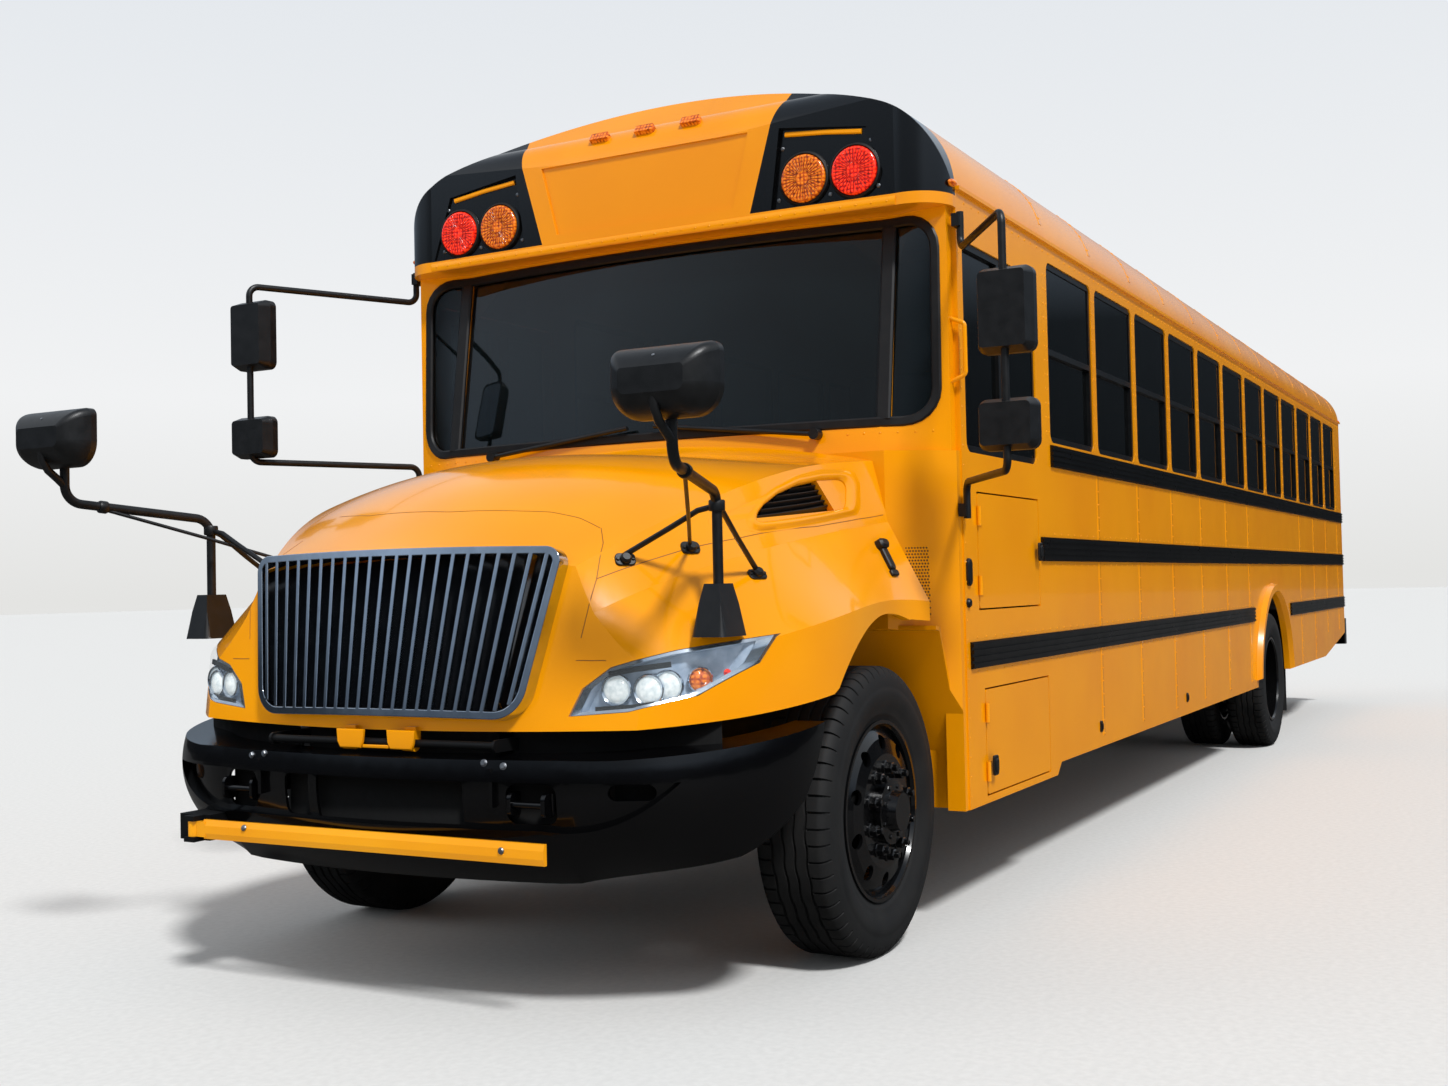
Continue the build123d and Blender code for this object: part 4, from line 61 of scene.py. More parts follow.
camera_data = bpy.data.cameras.new("camera")
camera_data.sensor_width = sensor
camera_data.lens = focal_pixels / picture_width * sensor
camera_data.clip_end = view_depth
camera = bpy.data.objects.new("camera", camera_data)
camera_turn = Matrix(np.column_stack((camera_right, camera_up, -camera_ahead)).tolist())
camera.matrix_world = Matrix.Translation(Vector(camera_place)) @ camera_turn.to_4x4()
bpy.context.scene.collection.objects.link(camera)
bpy.context.scene.camera = camera
bpy.context.scene.view_settings.view_transform = "Standard"


# Floor. A pale matt studio floor, wide enough to reach the horizon, with a
# faint fine grain so that the bus's shadow has something to fall on. Paint and
# chrome mirror it as grey, so that it doesn't bleach the yellow.
def linear(hex_code):
    """sRGB hex to linear red, green, blue and alpha: c/12.92 below 0.04045,
    otherwise ((c + 0.055) / 1.055) to the power 2.4."""
    c = np.array([int(hex_code[i : i + 2], 16) for i in (1, 3, 5)]) / 255
    flat = np.where(c <= 0.04045, c / 12.92, ((c + 0.055) / 1.055) ** 2.4)
    return (*flat.tolist(), 1.0)


def blank_material(name):
    """A new material, its emptied node tree and its object coordinates."""
    made = bpy.data.materials.new(name)
    made.use_nodes = True
    made.node_tree.nodes.clear()
    return made, made.node_tree, put(made.node_tree, "ShaderNodeTexCoord", "Object")


def put(tree, kind, out=None, stops=(), **given):
    """Adds one node. A given value sets an input socket or a setting of that
    name, with _ for a space, and a given socket is linked to the input. Stops
    are a colour ramp's (place, hex colour) pairs."""
    made = tree.nodes.new(kind)
    for key, value in given.items():
        place = key.replace("_", " ")
        if key.startswith("i") and key[1:].isdigit():
            target = made.inputs[int(key[1:])]
        elif place in made.inputs:
            target = made.inputs[place]
        else:
            setattr(made, key, value)
            continue
        if isinstance(value, bpy.types.NodeSocket):
            tree.links.new(value, target)
        else:
            target.default_value = value
    for _ in stops[2:]:
        made.color_ramp.elements.new(0.5)
    for i, (place, colour) in enumerate(stops):
        made.color_ramp.elements[i].position = place
        made.color_ramp.elements[i].color = linear(colour)
    return made.outputs[out] if isinstance(out, (int, str)) else made


floor_reach = 120.0
floor_corners = [(x * floor_reach, y * floor_reach, 0) for x, y in ((-1, -1), (1, -1), (1, 1), (-1, 1))]
pale_floor = ((0.3, "#D6D6D4"), (0.7, "#DEDEDC"))
mirrored_floor = ((0.3, "#3E3D3B"), (0.7, "#484745"))
floor_mesh = bpy.data.meshes.new("studio_floor")
floor_mesh.from_pydata(floor_corners, [], [(0, 1, 2, 3)])
studio_floor = bpy.data.objects.new("studio_floor", floor_mesh)
bpy.context.scene.collection.objects.link(studio_floor)
floor_paint, tree, spot = blank_material("matt_floor_paint")
grain = put(tree, "ShaderNodeTexNoise", "Fac", Vector=spot, Scale=40.0, Detail=3.0)
pale = put(tree, "ShaderNodeValToRGB", "Color", stops=pale_floor, Fac=grain)
grey = put(tree, "ShaderNodeValToRGB", "Color", stops=mirrored_floor, Fac=grain)
mirrored_ray = put(tree, "ShaderNodeLightPath", "Is Glossy Ray")
shade = put(tree, "ShaderNodeMix", 2, data_type="RGBA", i0=mirrored_ray, i6=pale, i7=grey)
paint = put(tree, "ShaderNodeBsdfPrincipled", "BSDF", Base_Color=shade, Roughness=0.9)
put(tree, "ShaderNodeOutputMaterial", Surface=paint)
floor_mesh.materials.append(floor_paint)


# Light. A large soft key stands high ahead on the driver's side and a weaker
# fill, which nothing mirrors, on the other side. The pale backdrop is seen by
# the camera and through glass only; paint and chrome mirror a sky that darkens
# towards the floor and straight ahead of the bus.
backdrop_stops = ((0.0, "#E4E4E2"), (0.12, "#F1F2F3"), (0.5, "#DDE3EA"), (0.9, "#C9D4E0"))
mirror_stops = (
    (0.0, "#1C1E20"), (0.16, "#30363C"), (0.3, "#B4C6DA"), (0.6, "#E6ECF2"), (0.85, "#8D99A8"),
)
suns = (("key", (-0.45, -0.55, -0.85), 2.9, 8.0), ("fill", (-0.5, 0.8, -0.45), 0.4, 30.0))
world = bpy.data.worlds.new("studio")
bpy.context.scene.world = world
world.use_nodes = True
world.node_tree.nodes.clear()
sky = world.node_tree
direction = put(sky, "ShaderNodeTexCoord", "Generated")
axes = put(sky, "ShaderNodeSeparateXYZ", Vector=direction)
backdrop = put(sky, "ShaderNodeValToRGB", "Color", stops=backdrop_stops, Fac=axes.outputs["Z"])
seen_sky = put(sky, "ShaderNodeBackground", "Background", Color=backdrop, Strength=1.0)
dimmed = put(
    sky, "ShaderNodeMapRange", "Result", Value=axes.outputs["X"],
    From_Min=0.7, From_Max=0.9, To_Min=0.95, To_Max=0.45,
)
mirrored = put(sky, "ShaderNodeValToRGB", "Color", stops=mirror_stops, Fac=axes.outputs["Z"])
mirror_sky = put(sky, "ShaderNodeBackground", "Background", Color=mirrored, Strength=dimmed)
lit_sky = put(sky, "ShaderNodeBackground", "Background", Color=linear("#F2F5FA"), Strength=0.5)
rays = put(sky, "ShaderNodeLightPath")
camera_ray, glass_ray = rays.outputs["Is Camera Ray"], rays.outputs["Is Transmission Ray"]
seen = put(sky, "ShaderNodeMath", 0, operation="MAXIMUM", i0=camera_ray, i1=glass_ray)
glossy_ray = rays.outputs["Is Glossy Ray"]
light = put(sky, "ShaderNodeMixShader", 0, i0=glossy_ray, i1=lit_sky, i2=mirror_sky)
shown = put(sky, "ShaderNodeMixShader", 0, i0=seen, i1=light, i2=seen_sky)
put(sky, "ShaderNodeOutputWorld", Surface=shown)
for lamp_name, aim, energy, angle in suns:
    lamp_data = bpy.data.lights.new(lamp_name, "SUN")
    lamp_data.energy = energy
    lamp_data.angle = np.radians(angle)
    lamp = bpy.data.objects.new(lamp_name, lamp_data)
    lamp.rotation_euler = Vector(aim).to_track_quat("-Z", "Y").to_euler()
    lamp.visible_glossy = lamp_name == "key"
    bpy.context.scene.collection.objects.link(lamp)


# Body panels. Steel sheet, riveted to the bows and painted in a deep yellow
# enamel. The paint is glossy, with a fine orange peel, and the wide thin
# panels between the rivets are never quite flat, so reflections waver.
def enamel(name, dark, light, roughness, coat, waviness=0.0):
    """Gloss enamel on sheet: two close shades drift over 600 mm, the gloss
    varies over 90 mm, and a 400 mm waviness bends the reflections."""
    made, tree, spot = blank_material(name)
    drift = put(tree, "ShaderNodeTexNoise", "Fac", Vector=spot, Scale=1.7, Detail=2.0)
    fade = put(tree, "ShaderNodeTexNoise", "Fac", Vector=spot, Scale=11.0, Detail=4.0)
    dull, bright = roughness * 0.8, roughness * 1.35
    gloss = put(tree, "ShaderNodeMapRange", "Result", Value=fade, To_Min=dull, To_Max=bright)
    wave = put(tree, "ShaderNodeTexNoise", "Fac", Vector=spot, Scale=2.5, Detail=1.0)
    peel = put(tree, "ShaderNodeTexNoise", "Fac", Vector=spot, Scale=140.0, Detail=1.0)
    swell = put(tree, "ShaderNodeBump", "Normal", Height=wave, Strength=waviness, Distance=0.02)
    skin = put(
        tree, "ShaderNodeBump", "Normal", Height=peel, Strength=0.02, Distance=0.001, Normal=swell
    )
    shade = put(tree, "ShaderNodeValToRGB", "Color", stops=((0.35, dark), (0.65, light)), Fac=drift)
    paint = put(
        tree, "ShaderNodeBsdfPrincipled", "BSDF", Base_Color=shade, Roughness=gloss, IOR=1.4,
        Specular_IOR_Level=0.4, Normal=skin, Coat_Weight=coat, Coat_Roughness=0.04,
    )
    put(tree, "ShaderNodeOutputMaterial", Surface=paint)
    return made


def finish_nodes(material, *names):
    """Gives CAD nodes their finish, in their own material slots."""
    for name in names:
        for place in nodes[name].material_slots:
            place.material = material


bus_yellow = enamel("bus_yellow_enamel", "#EA9200", "#F09A00", 0.2, 0.35, 0.12)
moulded_yellow = enamel("moulded_yellow_gelcoat", "#EC9400", "#F29D00", 0.16, 0.4, 0.0)
finish_nodes(
    bus_yellow, "left_side", "right_side", "rear_wall", "roof", "roof_hatch_front", "roof_hatch_rear",
    "cowl", "entry_leaf_front", "entry_leaf_rear", "rear_door", "access_door", "battery_door",
)
finish_nodes(moulded_yellow, "hood", "windshield_surround")


# Front cap. One moulded visor in yellow whose two ends are painted gloss black
# round the warning lamps. The black starts at a leaning line on each side and
# stops above a yellow band that caps the windshield.
cap_edge_low, cap_edge_foot, cap_edge_lean, cap_band_top = 0.470, 2.613, 0.286, 2.622
cap_yellows = ((0.35, "#EC9100"), (0.65, "#F29A00"))
cap_blacks = ((0.35, "#050506"), (0.65, "#08090A"))
cap_paint, tree, spot = blank_material("cap_two_tone_enamel")
apart = put(tree, "ShaderNodeSeparateXYZ", Vector=spot)
height = apart.outputs["Z"]
out_y = put(tree, "ShaderNodeMath", 0, operation="ABSOLUTE", i0=apart.outputs["Y"])
up_z = put(tree, "ShaderNodeMath", 0, operation="SUBTRACT", i0=height, i1=cap_edge_foot)
lean = put(
    tree, "ShaderNodeMath", 0, operation="MULTIPLY_ADD", i0=up_z, i1=cap_edge_lean, i2=cap_edge_low
)
beyond = put(tree, "ShaderNodeMath", 0, operation="GREATER_THAN", i0=out_y, i1=lean)
above = put(tree, "ShaderNodeMath", 0, operation="GREATER_THAN", i0=height, i1=cap_band_top)
black_here = put(tree, "ShaderNodeMath", 0, operation="MULTIPLY", i0=beyond, i1=above)
drift = put(tree, "ShaderNodeTexNoise", "Fac", Vector=spot, Scale=1.7, Detail=2.0)
yellow = put(tree, "ShaderNodeValToRGB", "Color", stops=cap_yellows, Fac=drift)
black = put(tree, "ShaderNodeValToRGB", "Color", stops=cap_blacks, Fac=drift)
two_tone = put(tree, "ShaderNodeMix", 2, data_type="RGBA", i0=black_here, i6=yellow, i7=black)
paint = put(
    tree, "ShaderNodeBsdfPrincipled", "BSDF", Base_Color=two_tone, Roughness=0.2,
    Coat_Weight=0.4, Coat_Roughness=0.04,
)
put(tree, "ShaderNodeOutputMaterial", Surface=paint)
finish_nodes(cap_paint, "front_cap")


# Painted steel: bumpers, rub rails, chassis and wheels. The bumpers, rails and
# wheels are gloss black, the chassis is satin; the engine is grey, and heat has
# browned the exhaust.
gloss_black = enamel("gloss_black_enamel", "#030304", "#060607", 0.18, 0.35, 0.03)
rail_black = enamel("rail_black_enamel", "#040405", "#080809", 0.28, 0.1, 0.0)
satin_black = enamel("satin_black_chassis_paint", "#070708", "#0E0F10", 0.5, 0.0, 0.0)
finish_nodes(gloss_black, "front_bumper", "rear_bumper")
finish_nodes(rail_black, "rub_rails")
finish_nodes(
    satin_black, "chassis_frame", "front_axle", "rear_axle", "radiator", "fuel_tank", "knuckle_left",
    "knuckle_right", "bench_frames", "arm_actuator",
)
finish_nodes(enamel("cast_engine_paint", "#3B3D3E", "#515456", 0.55, 0.0), "power_train")
finish_nodes(enamel("heated_exhaust_steel", "#5C554C", "#77716A", 0.5, 0.0), "exhaust")
finish_nodes(enamel("floor_lining", "#2A2B2C", "#383A3B", 0.6, 0.0), "floor", "floor_wells")
finish_nodes(enamel("moulded_arm_yellow", "#EE9A02", "#F5A60A", 0.3, 0.2), "crossing_arm")
wheel_black = enamel("wheel_black_enamel", "#050506", "#09090A", 0.2, 0.5, 0.0)
finish_nodes(
    wheel_black, "front_wheel_left", "front_wheel_right", "rear_wheels_left", "rear_wheels_right"
)


# Moulded black plastic and anodised sashes: mirror shells, gaskets, dashboard
# and window frames, with the fine grain of their moulds.
def moulded(name, dark, light, roughness, grain_scale, depth):
    """Grained plastic: pebbled bump at the given scale, with a light mottle."""
    made, tree, spot = blank_material(name)
    mottle = put(tree, "ShaderNodeTexNoise", "Fac", Vector=spot, Scale=25.0, Detail=3.0)
    pebble = put(tree, "ShaderNodeTexVoronoi", "Distance", Vector=spot, Scale=grain_scale)
    skin = put(tree, "ShaderNodeBump", "Normal", Height=pebble, Strength=depth, Distance=0.0006)
    least, most = roughness * 0.85, roughness * 1.2
    rough = put(tree, "ShaderNodeMapRange", "Result", Value=mottle, To_Min=least, To_Max=most)
    shade = put(tree, "ShaderNodeValToRGB", "Color", stops=((0.3, dark), (0.7, light)), Fac=mottle)
    paint = put(
        tree, "ShaderNodeBsdfPrincipled", "BSDF", Base_Color=shade, Roughness=rough, Normal=skin
    )
    put(tree, "ShaderNodeOutputMaterial", Surface=paint)
    return made


black_plastic = moulded("grained_black_plastic", "#0B0C0D", "#131416", 0.4, 420.0, 0.25)
black_rubber = moulded("extruded_black_rubber", "#08080A", "#101011", 0.5, 500.0, 0.15)
# The near-black matt liner is painted shade: it fills openings and gaps where only shade shows.
shade_black_liner = moulded("painted_shade_black_liner", "#020202", "#050505", 0.9, 200.0, 0.1)
finish_nodes(black_plastic, "side_mirrors", "crossover_mirrors", "wipers", "steering_wheel")
finish_nodes(moulded("dashboard_plastic", "#232527", "#303234", 0.6, 300.0, 0.3), "dashboard")
finish_nodes(moulded("black_anodised_sash", "#08090A", "#101112", 0.35, 600.0, 0.1), "window_frames")
finish_nodes(moulded("flap_rubber", "#121212", "#1A1A1A", 0.75, 200.0, 0.4), "mud_flaps")


# Glass. Tinted safety glass: dark, smooth and a little green at its edges, with
# a faint film of dust that dulls the reflections. The panes are nearly opaque and nearly
# black: partly the glass's own tint, partly painted shade of the cabin behind them.
def tinted_glass(name, dark, light, alpha, roughness):
    """Tinted pane: a dark see-through body under a mirror-smooth face, its
    film of dust drifting over 300 mm."""
    made, tree, spot = blank_material(name)
    film = put(tree, "ShaderNodeTexNoise", "Fac", Vector=spot, Scale=3.0, Detail=3.0)
    least, most = roughness, roughness * 2.5
    dull = put(tree, "ShaderNodeMapRange", "Result", Value=film, To_Min=least, To_Max=most)
    shade = put(tree, "ShaderNodeValToRGB", "Color", stops=((0.3, dark), (0.7, light)), Fac=film)
    pane = put(
        tree, "ShaderNodeBsdfPrincipled", "BSDF", Base_Color=shade, Roughness=dull, IOR=1.5,
        Alpha=alpha, Coat_Weight=0.3, Coat_Roughness=0.01,
    )
    put(tree, "ShaderNodeOutputMaterial", Surface=pane)
    return made


# The near-black, nearly opaque panes are partly tint and partly painted shade of the cabin.
side_glass = tinted_glass("tint_and_painted_shade_glass", "#030404", "#060808", 0.9, 0.015)
finish_nodes(side_glass, "window_glass", "rear_door_glass", "entry_glass_front", "entry_glass_rear")
finish_nodes(tinted_glass("windshield_glass", "#05090A", "#091012", 0.76, 0.01), "windshield")
finish_nodes(tinted_glass("headlamp_lens", "#B9C6CE", "#D2DBE0", 0.08, 0.01), "headlamps")


# Chrome and plain metals. The grille is bright plate over nickel, mirror smooth
# with a little handling haze; screws and reflectors are duller.
def plated(name, dark, light, roughness, edge=0.0):
    """Bare or plated metal: a soft haze over 50 mm shades its tint and gloss, and
    edges are shaded as if rounded to the given radius, so they catch the sky."""
    made, tree, spot = blank_material(name)
    haze = put(tree, "ShaderNodeTexNoise", "Fac", Vector=spot, Scale=18.0, Detail=4.0)
    shade = put(tree, "ShaderNodeValToRGB", "Color", stops=((0.3, dark), (0.7, light)), Fac=haze)
    least, most = roughness, roughness * 2.0
    gloss = put(tree, "ShaderNodeMapRange", "Result", Value=haze, To_Min=least, To_Max=most)
    round_edge = put(tree, "ShaderNodeBevel", "Normal", samples=6, Radius=edge)
    metal = put(
        tree, "ShaderNodeBsdfPrincipled", "BSDF", Base_Color=shade, Metallic=1.0, Roughness=gloss,
        Normal=round_edge,
    )
    put(tree, "ShaderNodeOutputMaterial", Surface=metal)
    return made


chrome = plated("bright_chrome_plate", "#BFC8D4", "#D2DAE4", 0.05, 0.0035)
zinc = plated("zinc_plated_steel", "#8F9296", "#A9ACB0", 0.3)
mirror_silver = plated("silvered_mirror", "#A9B0B6", "#B9C0C6", 0.02)
finish_nodes(chrome, "grille")


# Rivets and laps. Round-headed rivets hold the skin to the bows, pillars and
# rails, and are painted over with it. The skirt and the roof are laid in
# sheets that lap at every pillar, with a row of rivets on each side of the lap.
def piece(name, shape, material, body, crease=35.0):
    """A finished mesh on one body: faces turned outward, and edges that turn
    more than the crease angle kept sharp."""
    points, faces = shape
    mesh = bpy.data.meshes.new(name)
    mesh.from_pydata(np.asarray(points, float).tolist(), [], faces)
    work = bmesh.new()
    work.from_mesh(mesh)
    bmesh.ops.recalc_face_normals(work, faces=work.faces)
    work.to_mesh(mesh)
    work.free()
    mesh.shade_smooth()
    mesh.set_sharp_from_angle(angle=np.radians(crease))
    mesh.materials.append(material)
    made = bpy.data.objects.new(name, mesh)
    bpy.context.scene.collection.objects.link(made)
    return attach(made, body)


def grid_quads(rows, columns, close_rows=False, close_columns=False):
    """Quads between points laid out row by row; a closed way joins its last
    row or column to its first."""
    r = np.arange(rows if close_rows else rows - 1)[:, None]
    c = np.arange(columns if close_columns else columns - 1)[None, :]
    near, far = r * columns, (r + 1) % rows * columns
    corners = (near + c, near + (c + 1) % columns, far + (c + 1) % columns, far + c)
    return np.stack(np.broadcast_arrays(*corners), -1).reshape(-1, 4).tolist()


def turned(profile, sides, closed=False):
    """A profile of (radius, height) pairs turned round the z axis. The ends are
    capped, or a closed profile makes a ring."""
    profile = np.asarray(profile, float)
    angle = np.arange(sides) * 2 * np.pi / sides
    ring = np.column_stack((np.cos(angle), np.sin(angle)))
    flat = profile[:, None, :1] * ring[None]
    up = np.broadcast_to(profile[:, None, 1:], (len(profile), sides, 1))
    points = np.concatenate((flat, up), -1).reshape(-1, 3)
    faces = grid_quads(len(profile), sides, closed, True)
    if not closed:
        faces += [list(range(sides)), list(range(len(points) - sides, len(points)))]
    return points, faces


def facing(origin, normal, up=(0, 0, 1)):
    """A place whose z axis points along the normal and whose y axis leans to
    up, as the rows x axis, y axis, z axis and origin."""
    z = np.asarray(normal, float) / np.linalg.norm(normal)
    x = np.cross(up, z)
    x = x / np.linalg.norm(x)
    return np.array((x, np.cross(z, x), z, origin))


def copies(shape, places):
    """The shape at each place: its x, y and z run along the place's axes."""
    points, faces = shape
    places = np.asarray(places, float)
    spread = np.einsum("pk,nkc->npc", points, places[:, :3]) + places[:, 3][:, None]
    count = len(points)
    faces = [[i + n * count for i in face] for n in range(len(places)) for face in faces]
    return spread.reshape(-1, 3), faces


def joined(*shapes):
    """Several shapes as one list of points and one list of faces."""
    starts = np.cumsum([0] + [len(points) for points, _ in shapes]).tolist()
    faces = [[i + start for i in face] for start, (_, shape) in zip(starts, shapes) for face in shape]
    return np.concatenate([points for points, _ in shapes]), faces


def moulding(half, low, high, bevel=None):
    """Section of a strip, from -half to half across and from low to high, its
    two upper corners cut by a bevel of (across, down) if one is given."""
    if bevel is None:
        return [(-half, low), (-half, high), (half, high), (half, low)]
    side, top = high - bevel[1], half - bevel[0]
    return [(-half, low), (-half, side), (-top, high), (top, high), (half, side), (half, low)]


def swept(path, section, up, closed=False):
    """A flat section of (across, out) pairs carried along a path. Out leans to
    up and across is square to it and to the path."""
    path = np.asarray(path, float)
    section = np.asarray(section, float)
    ahead = np.roll(path, -1, 0) - np.roll(path, 1, 0) if closed else np.gradient(path, axis=0)
    ahead = ahead / np.linalg.norm(ahead, axis=1, keepdims=True)
    across = np.cross(ahead, np.broadcast_to(up, path.shape))
    across = across / np.linalg.norm(across, axis=1, keepdims=True)
    out = np.cross(across, ahead)
    points = path[:, None] + section[None, :, :1] * across[:, None] + section[None, :, 1:] * out[:, None]
    faces = grid_quads(len(path), len(section), closed, True)
    if not closed:
        last = (len(path) - 1) * len(section)
        faces += [list(range(len(section))), list(range(last, last + len(section)))]
    return points.reshape(-1, 3), faces


side_y, front_x, tail_x = 1.219, 4.29, -6.16
front_axle, rear_axle, arch_reach = 4.81, -2.2, 0.80
window_front, window_pitch, window_count, post_half = 3.197, 0.753, 12, 0.033
rails = ((0.914, 1.011), (1.307, 1.406), (1.703, 1.796))
rail_margin, lap_margin, sheet_lift, lap_rivet_x = 0.015, 0.002, 0.0016, 0.01
eave_z, eave_pitch, rail_pitch = 2.612, 0.08, 0.1
skirt_low, raised_low, raised_from = 0.52, 0.72, -4.84
pillar_x = window_front - window_pitch * np.arange(window_count + 1) + post_half
rail_x = np.arange(3.17, tail_x + 0.04, -rail_pitch)
low_rail_z = (rails[0][1] + rail_margin, rails[0][0] - rail_margin)
high_rail_z = (rails[2][0] - rail_margin, rails[1][1] + rail_margin, rails[1][0] - rail_margin)
rivet = turned([(0.0048, -0.001), (0.0048, 0.0004), (0.0034, 0.0019), (0.0012, 0.0025)], 6)
lap_section = moulding(0.018, -0.001, sheet_lift, (0.0015, 0.0008))
rivet_places, laps = [], []
for side in (1, -1):
    rows = [(x, eave_z, 0) for x in np.arange(4.2, tail_x + 0.04, -eave_pitch)]
    rows += [(x, z, 0) for z in high_rail_z for x in rail_x]
    rows += [(x, z, 0) for z in low_rail_z for x in rail_x if abs(x - rear_axle) > arch_reach]
    if side > 0:
        rows += [(x, z, 0) for z in low_rail_z for x in np.arange(4.17, 3.2, -rail_pitch)]
    post_rivets = np.arange(1.85, 2.57, 0.06)
    rows += [(x + dx, z, 0) for x in pillar_x for dx in (-0.019, 0.019) for z in post_rivets]
    rows += [(front_x - 0.018, z, 0) for z in np.arange(0.46, 2.56, 0.07)]
    for x in pillar_x[1:]:
        if abs(x - rear_axle) <= arch_reach:
            continue
        low = raised_low if x < raised_from else skirt_low
        for low_z, top_z in ((low, 0.89), (1.05, 1.29), (1.45, 1.68)):
            up_lap = np.arange(low_z, top_z, 0.06)
            rows += [(x + dx, z, sheet_lift) for dx in (-lap_rivet_x, lap_rivet_x) for z in up_lap]
        edges = [low - 0.01 - lap_margin] + [z for rail in rails for z in rail]
        for low_z, top_z in zip(edges[0::2], edges[1::2]):
            ends = [(x, side * side_y, low_z + lap_margin), (x, side * side_y, top_z - lap_margin)]
            laps.append(swept(ends, lap_section, (0, side, 0)))
    rivet_places += [facing((x, side * (side_y + lift), z), (0, side, 0)) for x, z, lift in rows]
piece("side_rivets", copies(rivet, rivet_places), bus_yellow, "body")
piece("side_laps", joined(*laps), bus_yellow, "body")

# Outline of the roof: a crowned arc between two tight shoulders, as (y, z) and
# the angle of the outward direction, from the driver's side over to the other
shoulder_y, shoulder_z, shoulder_radius = 0.869, 2.64, 0.35
crown_centre, crown_radius = 0.36, 2.79
meeting = np.degrees(np.arctan2(shoulder_z - crown_centre, shoulder_y))
roof_parts = []
for y, z, radius, turn in (
    (shoulder_y, shoulder_z, shoulder_radius, np.linspace(14, meeting, 9)[:-1]),
    (0.0, crown_centre, crown_radius, np.linspace(meeting, 180 - meeting, 17)),
):
    a = np.radians(turn)
    roof_parts.append(np.column_stack((y + radius * np.cos(a), z + radius * np.sin(a), turn)))
far_shoulder = (roof_parts[0] * (-1, 1, -1) + (0, 0, 180))[::-1]
roof_line = np.concatenate((*roof_parts, far_shoulder))
hatch_x, hatch_clear = (1.61, -4.9), 0.4
roof_laps, roof_rivets = [], []
travel = np.concatenate(([0], np.cumsum(np.hypot(*np.diff(roof_line[:, :2], axis=0).T))))
across_y = roof_line[:, 0]
for x in pillar_x:
    near_hatch = min(abs(x - h) for h in hatch_x) < hatch_clear
    halves = (across_y > hatch_clear, across_y < -hatch_clear) if near_hatch else (slice(None),)
    for half in halves:
        line, along = roof_line[half], travel[half]
        a = np.radians(line[:, 2])
        out = np.column_stack((np.zeros(len(a)), np.cos(a), np.sin(a)))
        roof_laps.append(swept(np.column_stack((np.full(len(a), x), line[:, :2])), lap_section, out))
        stops = np.arange(along[0] + 0.03, along[-1] - 0.02, 0.075)
        y, z, turn = (np.interp(stops, along, line[:, k]) for k in range(3))
        a = np.radians(turn)
        out = np.column_stack((np.zeros(len(a)), np.cos(a), np.sin(a)))
        for dx in (-lap_rivet_x, lap_rivet_x):
            heads = np.column_stack((np.full(len(a), x + dx), y, z)) + sheet_lift * out
            roof_rivets += [facing(head, o, (1, 0, 0)) for head, o in zip(heads, out)]
piece("roof_laps", joined(*roof_laps), bus_yellow, "body")
piece("roof_rivets", copies(rivet, roof_rivets), bus_yellow, "body")


# Cap trim. A riveted drip strip closes the joint between cap and windshield, a
# yellow brow strip is set over each pair of lamps, black rubber rings hold the
# lenses, and small zinc screws hold the black lamp panels.
cap_foot_x, cap_bow, cap_half, drip_z, panel_x = 4.465, 0.020, 1.049, 2.598, 4.439
lamp_spots = (  # face x, y, z and tint of each lamp on the driver's side
    (panel_x, 0.693, 2.725, "amber"), (panel_x, 0.897, 2.725, "red"),
    (tail_x, 0.685, 2.745, "amber"), (tail_x, 0.900, 2.745, "red"),
    (tail_x, 0.960, 1.560, "amber"), (tail_x, 0.960, 1.345, "red"),
)
y = np.linspace(-1.05, 1.05, 43)
drip_path = np.column_stack((cap_foot_x - cap_bow * (y / cap_half) ** 2, y, np.full(43, drip_z)))
drip = swept(drip_path, moulding(0.016, -0.004, 0.004, (0.003, 0.002)), (1, 0, 0))
drip_rivets = [
    facing((cap_foot_x + 0.004 - cap_bow * (y / cap_half) ** 2, y, drip_z), (1, 0, 0))
    for y in np.arange(-1.02, 1.03, 0.06)
]
drip = joined(drip, copies(rivet, drip_rivets))
piece("windshield_drip_strip", drip, moulded_yellow, "body")
screw = turned([(0.008, -0.001), (0.008, 0.002), (0.006, 0.0045), (0.002, 0.005)], 10)
lens_ring = turned(
    [(0.0895, -0.001), (0.0895, 0.012), (0.094, 0.016), (0.1, 0.013), (0.103, 0.004), (0.103, -0.001)],
    48,
    True,
)
brow_section = moulding(0.009, -0.003, 0.009, (0.004, 0.004))
brows, screws, rings = [], [], []
for side in (1, -1):
    brow = [(panel_x, side * y, z) for y, z in ((0.618, 2.901), (0.78, 2.886), (0.925, 2.866))]
    brows.append(swept(brow, brow_section, (1, 0, 0)))
    for y, z in ((0.585, 2.66), (0.605, 2.85), (0.795, 2.655), (0.985, 2.66), (0.96, 2.83)):
        screws.append(facing((panel_x, side * y, z), (1, 0, 0)))
    rings += [facing((x, side * y, z), (np.sign(x), 0, 0)) for x, y, z, _ in lamp_spots]
piece("lamp_brow_strips", joined(*brows), moulded_yellow, "body")
piece("lamp_panel_screws", copies(screw, screws), zinc, "body")
piece("lamp_lens_rings", copies(lens_ring, rings), black_rubber, "body")
